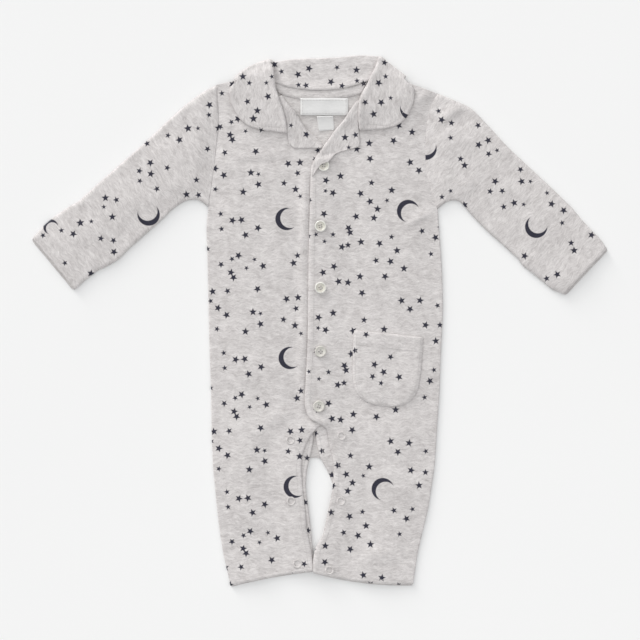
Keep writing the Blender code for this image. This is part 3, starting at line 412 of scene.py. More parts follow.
RIGHT_SLEEVE_STARS = (
    (130.5, 183, 1), (158.5, 176, 3), (168, 180.5, 3), (168.5, 167, 2), (177, 170.5, 0),
    (140.5, 162, 2), (144.5, 155.5, 3), (175, 139.5, 3), (170, 129.5, 2), (182, 130, 2),
    (183.5, 114, 2), (194, 118, 3), (122, 124, 1), (130.5, 130, 0), (144.5, 116, 3),
    (158, 195.5, 2), (227, 128, 0), (203.5, 116.5, 0), (231.5, 117, 3), (243.5, 110.5, 3),
    (242, 98, 1), (271.5, 86, 3), (251, 78, 2), (254, 70.5, 3), (204.5, 65, 3), (237, 46.5, 3),
    (118.5, 210, 1), (121.5, 201, 3), (131.5, 198, 2), (200.5, 151.5, 2), (226.5, 42.5, 2),
    (201.5, 139.5, 3), (210.3, 139.5, 0),
)
RIGHT_SLEEVE_MOONS = ((216, 94.1, 62, 1), (105.5, 172.2, 81, 1))
COLLAR_STARS = (
    (-77, 244, 3), (-70.5, 237.5, 1), (-53.5, 237.5, 0), (-45.5, 256.5, 3), (-72.5, 219, 2),
    (-52, 224, 3), (-62.5, 210, 3), (-66.5, 202, 4), (64.5, 258, 2), (65.5, 244, 1),
    (58.5, 237.5, 3), (70.5, 222.5, 0), (45, 218, 2), (61, 218, 3), (53.5, 206.5, 3),
    (-59, 190.5, 2), (-48, 243.5, 0),
)
COLLAR_MOONS = ((91, 212, 105, 1),)
STAND_STARS = (
    (-38.5, 249.5, 1), (-11, 252.5, 3), (-22, 246.5, 3), (-21.5, 236, 1), (-14, 235.5, 2),
    (17, 253.5, 1), (36.5, 251, 3), (11, 239, 3), (22, 235, 2), (37, 240, 1), (43.5, 237.5, 2),
    (-45.5, 256.5, 3),
)
LAPEL_STARS = (
    (-29, 195.5, 0), (-13.5, 186.5, 3), (-2, 170.5, 2), (25, 183.5, 3), (35.5, 186, 2),
    (28.7, 173.5, 0),
)
POCKET_STARS = (
    (70.5, -36, 2), (54.5, -43.5, 3), (63.5, -51, 3), (52.5, -55.5, 2), (61, -62, 1), (79, -56, 3),
    (46, -13.5, 2), (35, -29.5, 2),
)
FACING_STARS = (
    (-4.5, -112.5, 2), (2, -130, 2), (-13, -137, 2), (12, -154, 3), (-14.7, -181.5, 2),
    (-12, -209.5, 2),
)
# where the cloth is pulled off its even repeat: across, up, shift across, shift up
LEFT_DRAWS = (
    (-28, 145, 4.5, -3.3), (-26, 162, 6, -4.6), (-66, 169, 1.6, -1.6), (-70, 141, 1.3, 0.6),
    (-96, 169, 0, -0.7), (-97, 145, 0, 1), (-91, 187, 3, -0.8), (-84, 205, 3, -2.8),
    (-77, 192, 2.1, -2.8), (-106, 131, 2.2, 1), (-95, 100, 0, 0), (-40, 107, 0, 0),
    (-60, 60, 0, 0), (-100, 30, 0, 0), (-25, 20, 0, 0), (-59, -107, 0, 0), (-99, -126, -2.7, -1.6),
    (-57, -141, 1, 1.5), (-23, -81, 0.3, 4.3), (-19, -115, 0.4, 7), (-21, -126, 0.6, 7.3),
    (-34, -137, 2, 7.3), (-22, -144, 1.8, 9.7), (-27, -176, 2, 11.5), (-93, -221, 3.7, -0.7),
    (-83, -229, 5.9, 2.2), (-80, -234, 6.4, 2.6), (-86, -248, 8.7, 2), (-56, -246, 8.8, 8.2),
    (-67, -225, 7, 3.6), (-101, 231, 4, -3.7), (-50.6, -223, 8.6, 7), (-16, -212, 16, 5),
    (-20, -220, 16, 5),
)
RIGHT_DRAWS = (
    (47, 182, 2.6, -4.6), (72, 182, 1.2, -1.2), (49, 165, 0.2, -2.8), (89, 158, 1, 1),
    (97, 149, 2, 2), (30, 100, 0, 0), (90, 90, 0, 0), (60, 40, 0, 0), (6, -82, 2, 0.3),
    (34, -109, -4.4, 1.3), (112, -43, 0.5, -5.7), (108, -53, 3.1, -7.6), (103, -70, 0.6, -6.9),
    (57, -92, -1.4, -3.8), (77, -84, -1, -4.8), (30, -92, 2.5, -1.3), (22, -45, 3.5, -0.5),
    (21, -61, 3.9, -1.2), (64, -7, 0, -2), (109, 227, 3, 16),
)
DRAW_REACH = 15.0
DRAW_KEEP = 0.12        # weight of the even repeat beside that of the nearest draws
# The right leg is swung round: up where it starts, radians, and where across it turns.
RIGHT_LEG_TURN = (-92, 0.145, 31, 0.2)
LEG_TURN_REACH, LEG_SHIFT_REACH = 40, 20

# ---- colours, as linear light ----
LIGHT_FIBRE = (0.795, 0.764, 0.756)
DARK_FIBRE = (0.485, 0.458, 0.453)
REVERSE_FIBRE = (0.780, 0.752, 0.738)
INK = (0.016, 0.016, 0.030)
LABEL_WHITE = (0.800, 0.795, 0.790)
LABEL_GREY = (0.755, 0.750, 0.745)
# One pearl in copies: the paler one paints the highlight on a button's raised rim, the darker one
# paints shade in its dish
PEARL_LIT = (0.830, 0.820, 0.780)
PEARL_DISH_SHADED = (0.660, 0.630, 0.565)
# A darker copy of the same pearl for the lower buttons: painted shade for their weaker reflection
PEARL_DULL_SHADED = (0.640, 0.615, 0.580)
PEARL_GREEN = (0.66, 0.72, 0.60)
THREAD = (0.660, 0.640, 0.630)
FLOOR_DARK, FLOOR_PALE = (0.905, 0.905, 0.905), (0.915, 0.915, 0.915)

# ---- light and camera ----
FLOOR_LIGHT = 1.003     # light on the floor, as a share of a white one's
WORLD_SHARE = 0.10
WORLD_TINT = (0.96, 0.98, 1.0, 1.0)
KEY_SHARE = 0.12        # of the light from the collar end and the left
LOW_SHARE = 0.08        # and of one from the same side that is almost level
# name, share, elevation, azimuth and spread in degrees, tint
SUNS = (
    ("key", KEY_SHARE, 22, 33, 32, (1.0, 0.985, 0.965)),
    ("low", LOW_SHARE, 10, 33, 16, (1.0, 0.985, 0.965)),
    ("above", 1.0 - KEY_SHARE - LOW_SHARE - WORLD_SHARE, 90, 0, 150, (0.995, 1.0, 1.0)),
)
SUN_DISTANCE = 3.0
FLOOR_HALF, FLOOR_DEPTH = 4000, 0.2
PICTURE = 640           # pixels, each one square of the print's chart
LENS, SENSOR, CLIP = 100.0, 36.0, (0.05, 20.0)
FOCUS_HEIGHT = 0.003    # level of the cloth that fills the picture at this scale, in metres


# ---- materials ----
class Nodes:
    """Short calls for building one material's nodes."""

    def __init__(self, name):
        self.material = bpy.data.materials.new(name)
        self.material.use_nodes = True
        self.tree = self.material.node_tree
        self.shader = self.tree.nodes["Principled BSDF"]

    def link(self, value, socket):
        if isinstance(value, bpy.types.NodeSocket):
            self.tree.links.new(value, socket)
        else:
            socket.default_value = value

    def add(self, kind, inputs, output=0, **settings):
        node = self.tree.nodes.new("ShaderNode" + kind)
        for key, value in settings.items():
            setattr(node, key, value)
        for key, value in inputs.items():
            self.link(value, node.inputs[key])
        return node.outputs[output]

    def math(self, operation, first, second=0.0, third=0.0):
        return self.add("Math", {0: first, 1: second, 2: third}, operation=operation)

    def times(self, first, second, plus=None):
        if plus is None:
            return self.math("MULTIPLY", first, second)
        return self.math("MULTIPLY_ADD", first, second, plus)

    def vector(self, operation, first, second):
        return self.add("VectorMath", {0: first, 1: second}, operation=operation)

    def ramp(self, value, low, high, from_value=0.0, to_value=1.0):
        inputs = {"Value": value, "From Min": low, "From Max": high,
                  "To Min": from_value, "To Max": to_value}
        return self.add("MapRange", inputs, clamp=True)

    def mix(self, factor, *pair):
        """Between two colours, each a socket or three numbers."""
        first, second = (value if isinstance(value, bpy.types.NodeSocket) else (*value, 1.0)
                         for value in pair)
        return self.add("Mix", {0: factor, 6: first, 7: second}, output=2, data_type="RGBA")

    def attribute(self, name):
        return self.add("Attribute", {}, output="Vector", attribute_name=name)

    def place(self):
        return self.add("TexCoord", {}, output="Object")

    def noise(self, where, scale, detail=2.0, roughness=0.5):
        inputs = {"Vector": self.vector("MULTIPLY", where, scale), "Scale": 1.0,
                  "Detail": detail, "Roughness": roughness}
        return self.add("TexNoise", inputs)

    def parts(self, vector):
        return self.add("SeparateXYZ", {0: vector}, output=slice(0, 3))

    def finish(self, base, roughness, bump=None, gloss=None):
        """Join what was built to the shader; bump is a height, its strength and its distance."""
        inputs = {"Base Color": base, "Roughness": roughness, **(gloss or {})}
        if bump:
            names = ("Height", "Strength", "Distance")
            inputs["Normal"] = self.add("Bump", dict(zip(names, bump)))
        for key, value in inputs.items():
            self.link(value, self.shader.inputs[key])
        return self.material


def shaded(colour, share):
    return [share * value for value in colour]


def inked(nodes, name):
    """How much ink one of the stamped motifs puts on a place."""
    def length(across, up):
        squares = nodes.math("ADD", nodes.times(across, across), nodes.times(up, up))
        return nodes.math("SQRT", squares)

    x, y, size = nodes.parts(nodes.attribute(name))
    radius = length(x, y)
    fifth = math.pi / 5
    angle = nodes.math("PINGPONG", nodes.math("ARCTAN2", y, x), fifth)
    tip = np.array((1.0, 0.0))
    waist = STAR_WAIST * np.array((math.cos(fifth), math.sin(fifth)))
    normal = np.array((waist[1] - tip[1], tip[0] - waist[0]))
    normal /= np.linalg.norm(normal)
    along = nodes.times(radius, nodes.math("COSINE", angle))
    across = nodes.times(radius, nodes.math("SINE", angle))
    star = nodes.times(along, float(normal[0]), -float(normal @ tip))
    star = nodes.times(across, float(normal[1]), star)
    bite = length(nodes.math("SUBTRACT", x, MOON_BITE_OFFSET), y)
    crescent = nodes.math("MAXIMUM", nodes.math("SUBTRACT", radius, 1.0),
                          nodes.math("SUBTRACT", MOON_BITE_RADIUS, bite))
    moon = nodes.math("LESS_THAN", size, 0.0)
    picked = nodes.add("Mix", {0: moon, 2: star, 3: crescent}, data_type="FLOAT")
    distance = nodes.times(picked, nodes.math("ABSOLUTE", size), -INK_SPREAD)
    return nodes.ramp(distance, INK_SOFTNESS, -INK_SOFTNESS)


WAVER = (0.085, (5.0, 9.0, 0.0))        # scale and reach of the streaks' waviness
# scale across, along and up, detail, weight: the marl's streaks, its fine fibres, then its
# blotches, patches and flecks
STREAK = ((0.14, 0.58, 0.2), 4, 0.90)
FINE = ((0.34, 1.4, 0.6), 3, 0.70)
CLOUDS = (((0.13, 0.17, 0.15), 2, 0.45), ((0.030, 0.045, 0.05), 2, 0.20),
          ((0.9, 2.2, 1.0), 1, 0.35))
MARL_RANGE = (1.01, 1.59)               # the sums that are all dark and all pale fibre
WALE = 0.85                             # pitch of the knit's columns
COURSE = 0.65                           # pitch of its rows
ZIGZAG, FUZZ, STREAK_HEIGHT = 0.6, 1.4, 3.0
FIBRE_ROUGHNESS = 0.65                  # of the noise in streaks and fine fibres
FUZZ_SCALE, WEAR_SCALE = (2.6, 2.6, 2.6), (1.6, 1.6, 1.6)
WEAR = (0.15, 0.45, 0.9, 1.0)           # range of the noise, and the ink that stays there
INK_LIT, INK_SMOOTH = 1.5, -0.18        # of its paler flecks, and of its roughness
KNIT_BUMP = (0.4, 0.00008)              # strength, and distance in metres
JERSEY_GLOSS = {"Specular IOR Level": 0.25, "Sheen Weight": 0.12, "Sheen Roughness": 0.6}
LABEL_PITCH = (0.0004, 0.0005)          # of warp and ribs, in metres


def jersey(name, light, dark, printed):
    """Grey marl interlock: pale and darker fibres in short wavy streaks along the courses."""
    nodes = Nodes(name)
    cloth = nodes.attribute("cloth")
    waver = nodes.add("TexNoise", {"Vector": cloth, "Scale": WAVER[0], "Detail": 1.0},
                      output="Color")
    waver = nodes.vector("MULTIPLY", nodes.vector("SUBTRACT", waver, (0.5, 0.5, 0.5)), WAVER[1])
    bent = nodes.vector("ADD", cloth, waver)
    streak, fine = (nodes.noise(bent, scale, detail, FIBRE_ROUGHNESS)
                    for scale, detail, _ in (STREAK, FINE))
    tone = nodes.times(streak, STREAK[2], nodes.times(fine, FINE[2]))
    for scale, detail, weight in CLOUDS:
        tone = nodes.times(nodes.noise(cloth, scale, detail), weight, tone)
    base = nodes.mix(nodes.ramp(tone, *MARL_RANGE), dark, light)
    x, y, _ = nodes.parts(cloth)
    wales = nodes.math("ABSOLUTE", nodes.math("SINE", nodes.times(x, 2 * math.pi / WALE)))
    rows = nodes.math("ADD", nodes.times(y, 2 * math.pi / COURSE), nodes.times(wales, ZIGZAG))
    knit = nodes.times(nodes.math("SINE", rows), 0.5, wales)
    height = nodes.times(nodes.noise(cloth, FUZZ_SCALE), FUZZ, knit)
    height = nodes.times(streak, STREAK_HEIGHT, height)
    roughness = nodes.ramp(fine, 0.2, 0.8, 0.82, 0.94)
    if printed:
        ink = nodes.math("MAXIMUM", inked(nodes, "motif"), inked(nodes, "motif_2"))
        ink = nodes.times(ink, nodes.ramp(nodes.noise(cloth, WEAR_SCALE), *WEAR))
        lit = nodes.mix(nodes.ramp(fine, 0.3, 0.7), INK, shaded(INK, INK_LIT))
        base = nodes.mix(ink, base, lit)
        roughness = nodes.times(ink, INK_SMOOTH, roughness)
    return nodes.finish(base, roughness, (height, *KNIT_BUMP), JERSEY_GLOSS)


def satin(name, shade):
    """A woven label: fine ribs across, a soft gloss."""
    nodes = Nodes(name)
    where = nodes.place()
    warp, rib = (nodes.math("SINE", nodes.times(axis, 2 * math.pi / pitch))
                 for axis, pitch in zip(nodes.parts(where), LABEL_PITCH))
    cloudy = nodes.noise(where, (160.0, 420.0, 200.0), 3)
    base = nodes.mix(nodes.ramp(cloudy, 0.25, 0.75), shaded(shade, 0.93), shade)
    return nodes.finish(base, nodes.ramp(cloudy, 0.2, 0.8, 0.42, 0.55),
                        (nodes.times(warp, 0.5, rib), 0.3, 0.00005))


def pearl(name, shade, rough=0.16, coat=0.5):
    """Mother-of-pearl plastic: cloudy, with faint warm and green bands."""
    nodes = Nodes(name)
    where = nodes.place()
    cloud = nodes.noise(where, (260.0, 420.0, 300.0), 4, 0.6)
    band = nodes.noise(where, (700.0, 160.0, 300.0), 3)
    warm = nodes.mix(nodes.ramp(cloud, 0.3, 0.7), shaded(shade, 0.8), shaded(shade, 1.1))
    green = nodes.mix(nodes.ramp(band, 0.5, 0.75, 0.0, 0.35), warm, PEARL_GREEN)
    return nodes.finish(green, nodes.ramp(cloud, 0.3, 0.7, rough, rough + 0.14),
                        (band, 0.15, 0.0002), {"Coat Weight": coat, "Coat Roughness": 0.1})


def thread(name, shade):
    """Sewing thread: twisted, slightly glossy."""
    nodes = Nodes(name)
    twist = nodes.noise(nodes.place(), (3000.0, 3000.0, 3000.0))
    base = nodes.mix(nodes.ramp(twist, 0.3, 0.7), shaded(shade, 0.85), shade)
    return nodes.finish(base, nodes.ramp(twist, 0.3, 0.7, 0.55, 0.7), (twist, 0.4, 0.0001))


def floor_finish(name):
    nodes = Nodes(name)
    cloud = nodes.noise(nodes.place(), (2.0, 2.0, 2.0))
    base = nodes.mix(nodes.ramp(cloud, 0.3, 0.7), FLOOR_DARK, FLOOR_PALE)
    return nodes.finish(base, 0.95, None, {"Specular IOR Level": 0.0})


MARL = jersey("marl_print", LIGHT_FIBRE, DARK_FIBRE, True)
PLAIN = jersey("marl_plain", REVERSE_FIBRE, DARK_FIBRE, False)
SATIN = satin("label_satin", LABEL_WHITE)
SATIN_GREY = satin("label_satin_grey", LABEL_GREY)
# The rim's pearl with a painted highlight, the dish's with painted shade
BUTTON_LIT = pearl("button_pearl", PEARL_LIT)
DISH_SHADED = pearl("button_dish_shaded", PEARL_DISH_SHADED)
# The lower buttons' pearl: painted shade, rougher and without a coat
DULL_SHADED = pearl("button_dull_shaded", PEARL_DULL_SHADED, 0.5, 0.0)
SEWING = thread("sewing_thread", THREAD)


# ---- sections and grids ----
def filled(table):
    """A table's rows of five, with the zeros that end them put back."""
    return [(*row, *(0,) * (5 - len(row))) for row in table]


def parts_between(tables, spacing):
    """How many steps each interval of some matching tables takes to stay within the spacing."""
    steps = np.array([np.diff([row[:4] for row in table], axis=0) for table in tables])
    longest = np.hypot(steps[..., 0::2], steps[..., 1::2]).max(axis=(0, 2))
    return [max(1, math.ceil(length / spacing)) for length in longest]


def smoothed(table, parts):
    """The table's rows with rows between them, on a smooth curve through every column."""
    rows = np.array(filled(table), dtype=float)
    gaps = np.diff(rows, axis=0)
    steps = np.linalg.norm(gaps[:, :4], axis=1)
    before, after = steps[:-1, None], steps[1:, None]
    slopes = np.concatenate((
        gaps[:1] / steps[0],
        (gaps[:-1] / before * after + gaps[1:] / after * before) / (before + after),
        gaps[-1:] / steps[-1]))
    result = [rows[:1]]
    for row, count in enumerate(parts):
        u = np.arange(1, count + 1)[:, None] / count
        start = (1 + 2 * u) * (1 - u) ** 2 * rows[row]
        leave = u * (1 - u) ** 2 * steps[row] * slopes[row]
        end = u * u * (3 - 2 * u) * rows[row + 1]
        arrive = u * u * (u - 1) * steps[row] * slopes[row + 1]
        result.append(start + leave + end + arrive)
    return np.concatenate(result)


def section_grid(rows, columns):
    """Points in plan: each row runs from its first point to its second, with its bow."""
    start, end, bow = rows[:, None, 0:2], rows[:, None, 2:4], rows[:, 4, None, None]
    along = unit(end - start)
    across = np.stack((-along[..., 1], along[..., 0]), axis=-1)
    across = np.where(across[..., 1:] < 0, -across, across)
    t = np.linspace(0, 1, columns + 1)[None, :, None]
    return start + (end - start) * t + across * bow * 4 * t * (1 - t)


def table_grid(table, columns, spacing=TRIM_SPACING):
    return section_grid(smoothed(table, parts_between([table], spacing)), columns)


def unit(vectors):
    length = np.linalg.norm(vectors, axis=-1, keepdims=True)
    return vectors / np.maximum(length, 1e-9)


def smooth_step(value):
    value = np.clip(value, 0.0, 1.0)
    return value * value * (3 - 2 * value)


def creased(places, creases):
    """How far soft ridges and troughs raise or lower a place."""
    first, run_share, power = CREASE_TAPER
    total = np.zeros(places.shape[:-1])
    for from_x, from_y, to_x, to_y, bend, height, half_width in creases:
        start = np.array((from_x, from_y))
        run = np.array((to_x - from_x, to_y - from_y))
        normal = np.array((-run[1], run[0])) / np.linalg.norm(run)
        t = np.clip((places - start) @ run / (run @ run), 0.0, 1.0)
        centre = start + t[..., None] * run + (bend * 4 * t * (1 - t))[..., None] * normal
        distance = np.linalg.norm(places - centre, axis=-1)
        taper = np.sin(np.pi * (first + run_share * t)) ** power
        total += height * taper * np.exp(-(distance / half_width) ** 2)
    return total


def undulation(places, seed, wave, stretch, height):
    """Slow unevenness of laid cloth; stretch makes its waves longer across than along."""
    draw = np.random.default_rng(seed)
    total = np.zeros(places.shape[:-1])
    for _ in range(WAVES):
        length = wave * draw.uniform(*WAVE_RANGE)
        angle = draw.uniform(0, math.pi)
        phase = draw.uniform(0, 2 * math.pi)
        across = math.cos(angle) / (length * stretch)
        along = math.sin(angle) / length
        total += np.sin(2 * math.pi * (places[..., 0] * across + places[..., 1] * along) + phase)
    return total * height / WAVE_SCALE


def ripples(places, piece):
    """All of a piece's slow unevenness."""
    return sum(undulation(places, *row) for row in RIPPLES[piece])


def from_edges(grid):
    """Distance of each grid point from the row and column borders."""
    borders = {"column_start": grid[:, :1], "column_end": grid[:, -1:],
               "row_start": grid[:1], "row_end": grid[-1:]}
    return {side: np.linalg.norm(grid - border, axis=2) for side, border in borders.items()}


def nearest(edge, *sides):
    return np.min([edge[side] for side in sides], axis=0)


def bead(distance, height, width):
    """The ridge of a turned edge, a little way in from it."""
    return height * np.exp(-((distance - width) / width) ** 2)


def groove(distance, at, depth, half_width):
    return -depth * np.exp(-((distance - at) / half_width) ** 2)


def thinned(distance, depth, width):
    return -depth * (1 - smooth_step(distance / width))


def grid_faces(rows, columns, wrap=False, loop=False):
    """Corner numbers of a grid's faces; wrap closes each row into a ring, loop each column."""
    index = np.arange(rows * columns).reshape(rows, columns)
    above = np.roll(index, -1, axis=0)
    corners = (index, np.roll(index, -1, axis=1), np.roll(above, -1, axis=1), above)
    corners = np.stack(corners, axis=-1)
    return corners[:rows - (not loop), :columns - (not wrap)].reshape(-1, 4)


def stood(grid, heights):
    """Points of a grid at the given heights."""
    return np.concatenate((grid, heights[..., None]), axis=-1)


def circle(radius, sides):
    angle = 2 * np.pi * np.arange(sides) / sides
    return radius * np.stack((np.cos(angle), np.sin(angle)), axis=1)


# ---- what lies under a piece ----
GROUND_LOW = np.array((-290.0, -270.0))
GROUND_CELLS = (541, 581)       # of one millimetre
GROUND_LEAST = 0.05             # a lower level is the floor
RAY_TOP = 50.0
DOWN = Vector((0, 0, -1))
ground = np.zeros(GROUND_CELLS)


def spread(levels, reach):
    """The highest level within so many cells of each cell."""
    for _ in range(reach):
        padded = np.pad(levels, 1, mode="edge")
        near = [padded[1 + a:1 + a + levels.shape[0], 1 + b:1 + b + levels.shape[1]]
                for a in (-1, 0, 1) for b in (-1, 0, 1)]
        levels = np.max(near, axis=0)
    return levels


def level_at(reach, places):
    """The ground's levels at some places, read between the cells after spreading it."""
    levels = spread(ground, reach)
    cell = np.asarray(places) - GROUND_LOW
    column, row = (np.clip(np.floor(cell[..., axis]).astype(int), 0, levels.shape[1 - axis] - 2)
                   for axis in (0, 1))
    u, v = np.clip(cell[..., 0] - column, 0, 1), np.clip(cell[..., 1] - row, 0, 1)
    low = levels[row, column] * (1 - u) + levels[row, column + 1] * u
    high = levels[row + 1, column] * (1 - u) + levels[row + 1, column + 1] * u
    return low * (1 - v) + high * v


def laid(grid, reach, passes):
    """The lowest even underside of a piece that clears what is under it."""
    level = level_at(reach, grid)
    needed = np.where(level > GROUND_LEAST, level + LAYER_GAP, 0.0)
    heights = needed.copy()
    for _ in range(passes):
        padded = np.pad(heights, 1, mode="edge")
        around = padded[:-2, 1:-1] + padded[2:, 1:-1] + padded[1:-1, :-2] + padded[1:-1, 2:]
        heights = np.maximum(needed, around / 4)
    return heights


def cover(points):
    """Raise the ground to the top of a laid grid of points; the grid's own ray tree."""
    flat = points.reshape(-1, 3)
    tree = BVHTree.FromPolygons(flat.tolist(), grid_faces(*points.shape[:2]).tolist())
    low = np.maximum(np.floor(flat[:, :2].min(axis=0) - GROUND_LOW).astype(int), 0)
    high = np.ceil(flat[:, :2].max(axis=0) - GROUND_LOW).astype(int)
    for row in range(low[1], min(high[1] + 1, GROUND_CELLS[0])):
        for column in range(low[0], min(high[0] + 1, GROUND_CELLS[1])):
            start = Vector((column + GROUND_LOW[0], row + GROUND_LOW[1], RAY_TOP))
            hit = tree.ray_cast(start, DOWN)[0]
            if hit is not None and hit.z > ground[row, column]:
                ground[row, column] = hit.z
    return tree


# ---- closed walls ----
def made(name, points, faces, finishes=(), smooth=True):
    """A mesh object in the scene, from points in millimetres."""
    mesh = bpy.data.meshes.new(name)
    mesh.from_pydata((np.asarray(points) * MM).tolist(), [], faces)
    for finish in finishes:
        mesh.materials.append(finish)
    if smooth:
        mesh.shade_smooth()
    thing = bpy.data.objects.new(name, mesh)
    bpy.context.scene.collection.objects.link(thing)
    return thing


def wall(name, outer, inner, finishes=(MARL, PLAIN), rim=RIM, faces=None):
    """A closed wall between matching outer and inner points, its open edges rounded.

    rim says how far an edge swells, as a share of the wall: one number, or one for each point.
    """
    if faces is None:
        faces = grid_faces(*outer.shape[:2])
    rim = np.broadcast_to(rim, outer.shape[:-1]).ravel()
    outer, inner = outer.reshape(-1, 3), inner.reshape(-1, 3)
    first = faces[len(faces) // 2]
    facing = np.cross(outer[first[1]] - outer[first[0]], outer[first[3]] - outer[first[0]])
    if facing @ (outer[first[0]] - inner[first[0]]) < 0:
        faces = faces[:, ::-1]
    count = len(outer)
    starts, ends = faces.ravel(), np.roll(faces, -1, axis=1).ravel()
    border = ~np.isin(starts * count + ends, ends * count + starts)
    from_point, to_point = starts[border], ends[border]
    up = unit(outer - inner)
    along = unit(outer[to_point] - outer[from_point])
    out = np.zeros_like(outer)
    for point in (from_point, to_point):
        np.add.at(out, point, unit(np.cross(along, up[point])))
    edge = np.unique((from_point, to_point))
    thick = np.linalg.norm(outer[edge] - inner[edge], axis=1, keepdims=True)
    middle = (outer[edge] + inner[edge]) / 2 + unit(out[edge]) * thick * rim[edge, None]
    place = np.full(count, -1)
    place[edge] = 2 * count + np.arange(len(edge))
    upper_rim = np.stack((to_point, from_point, place[from_point], place[to_point]), axis=1)
    lower_rim = np.stack((place[to_point], place[from_point],
                          from_point + count, to_point + count), axis=1)
    everything = np.concatenate((faces, upper_rim, faces[:, ::-1] + count, lower_rim))
    thing = made(name, np.concatenate((outer, inner, middle)), everything.tolist(), finishes)
    reverse = np.arange(len(everything)) >= len(faces) + len(upper_rim)
    thing.data.polygons.foreach_set("material_index", reverse.astype(np.int32))
    thing.data.update()
    return thing


def rolled(outer, inner, side, radius, turn, steps):
    """Carry a border on round a roll that turns down and under.

    side names the border: row_start, row_end, column_start or column_end. radius is the outer
    one and turn the angle, each one number or one for each point of the border.
    """
    across, flip = side.startswith("column"), side.endswith("start")
    outer, inner = (sheet.transpose(1, 0, 2) if across else sheet for sheet in (outer, inner))
    outer, inner = (sheet[::-1] if flip else sheet for sheet in (outer, inner))
    edge = outer[-1]
    tangent = unit(np.gradient(edge[:, :2], axis=0))
    away = edge[:, :2] - outer[-3, :, :2]
    away = unit(away - tangent * np.sum(away * tangent, axis=1, keepdims=True))
    thick = edge[:, 2] - inner[-1, :, 2]
    radius = np.broadcast_to(radius, thick.shape)
    result = []
    for sheet, size in ((outer, radius), (inner, np.maximum(radius - thick, LEAST_ROLL))):
        rows = []
        for step in range(1, steps + 1):
            angle = turn * step / steps
            place = edge[:, :2] + away * (size * np.sin(angle))[:, None]
            rows.append(stood(place, edge[:, 2] - radius + size * np.cos(angle)))
        sheet = np.concatenate((sheet, rows))
        sheet = sheet[::-1] if flip else sheet
        result.append(sheet.transpose(1, 0, 2) if across else sheet)
    return result


# ---- marking a piece for its materials ----
def chart(stars, moons=(), repeat=(0, 0), times=(0,)):
    """The motifs of a chart in millimetres: x, y, radius, turn, and 1 for a moon."""
    motifs = []
    per_place, per_size, whole = STAR_TURNS
    for time in times:
        across, up = repeat[0] * time, repeat[1] * time
        for number, (x, y, size) in enumerate(stars):
            turn = math.radians((number * per_place + per_size * size) % whole)
            motifs.append((x + across, y + up, STAR_RADIUS[size], turn, 0))
        for x, y, opening, share in moons:
            motifs.append((x + across, y + up, MOON_RADIUS * share, math.radians(opening), 1))
    return np.array(motifs) * (SQUARE, SQUARE, 1, 1, 1)


def pulled(motifs, draws, leg=None):
    """A chart's motifs after the cloth has been laid: drawn aside, and turned with a leg."""
    places = motifs[:, :2] / SQUARE
    draws = np.array(draws)
    gap = np.linalg.norm(places[:, None] - draws[None, :, :2], axis=2)
    weight = np.exp(-(gap / DRAW_REACH) ** 2)
    shift = weight @ draws[:, 2:] / (weight.sum(axis=1, keepdims=True) + DRAW_KEEP)
    if leg:
        up, turn, across, drift = leg
        below = np.maximum(up - places[:, 1], 0.0)
        away = places[:, 0] - across - drift * below
        swung = -turn * away * smooth_step(below / LEG_TURN_REACH)
        share = smooth_step(below / LEG_SHIFT_REACH)[:, None]
        shift = shift * (1 - share) + np.stack((-turn * below, swung), axis=1) * share
    result = motifs.copy()
    result[:, :2] += shift * SQUARE
    return result


def read(items, name, width=1):
    """One property of all of a mesh's items: whole numbers, or rows of a vector."""
    values = np.zeros(len(items) * width, dtype=float if width > 1 else np.int32)
    items.foreach_get(name, values)
    return values.reshape(-1, width) if width > 1 else values


def mark(mesh, name, domain, values):
    """Keep a vector for each point or corner, for a material to read."""
    kept = mesh.attributes.new(name, "FLOAT_VECTOR", domain)
    kept.data.foreach_set("vector", values.astype(np.float32).ravel())


def stamp(thing, motifs, facing=0):
    """Give each printed face the two motifs nearest to it, in the motifs' own coordinates."""
    mesh = thing.data
    centres = read(mesh.polygons, "center", 3)[:, :2] / MM
    slant = read(mesh.polygons, "normal", 3)[:, 2]
    printed = (read(mesh.polygons, "material_index") == 0) & (np.abs(slant) > LEAST_SLANT)
    if facing:
        printed &= slant * facing > 0
    plan = read(mesh.vertices, "co", 3)[read(mesh.loops, "vertex_index"), :2] / MM
    owner = np.repeat(np.arange(len(centres)), read(mesh.polygons, "loop_total"))
    gap = np.linalg.norm(centres[:, None] - motifs[None, :, :2], axis=2) / motifs[None, :, 2]
    order = np.argsort(gap, axis=1)[:, :2]
    for rank, name in enumerate(("motif", "motif_2")):
        x, y, radius, turn, moon = motifs[order[:, rank]][owner].T
        away_x, away_y = plan[:, 0] - x, plan[:, 1] - y
        cos, sin = np.cos(turn), np.sin(turn)
        values = np.stack(((away_x * cos + away_y * sin) / radius,
                           (away_y * cos - away_x * sin) / radius,
                           np.where(moon > 0, -radius, radius)), axis=1)
        values[~printed[owner]] = NO_MOTIF
        mark(mesh, name, "CORNER", values)


def grain(thing, angle):
    """The cloth's own directions at each point: across and along the wales, in millimetres."""
    x, y, z = read(thing.data.vertices, "co", 3).T / MM
    cos, sin = math.cos(math.radians(angle)), math.sin(math.radians(angle))
    mark(thing.data, "cloth", "POINT", np.stack((x * cos + y * sin, y * cos - x * sin, z), axis=1))


def area_of(points, wrap=False):
    """Area of a grid of points, in square metres."""
    rows, columns = points.shape[:2]
    corners = points.reshape(-1, 3)[grid_faces(rows, columns, wrap)]
    first, second, third = (corners[:, index] - corners[:, 0] for index in (1, 2, 3))
    halves = (np.linalg.norm(np.cross(first, second), axis=1)
              + np.linalg.norm(np.cross(second, third), axis=1))
    return float(halves.sum()) / 2 * MM * MM


def declare(thing):
    """Ride on the body, stand for a node, and mark the turn of the cloth's wales."""
    node, width, length, angle, slot = (*CUTS[thing.name], "jersey_print")[:5]
    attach(thing, "root")
    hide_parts(node)
    grain(thing, angle)


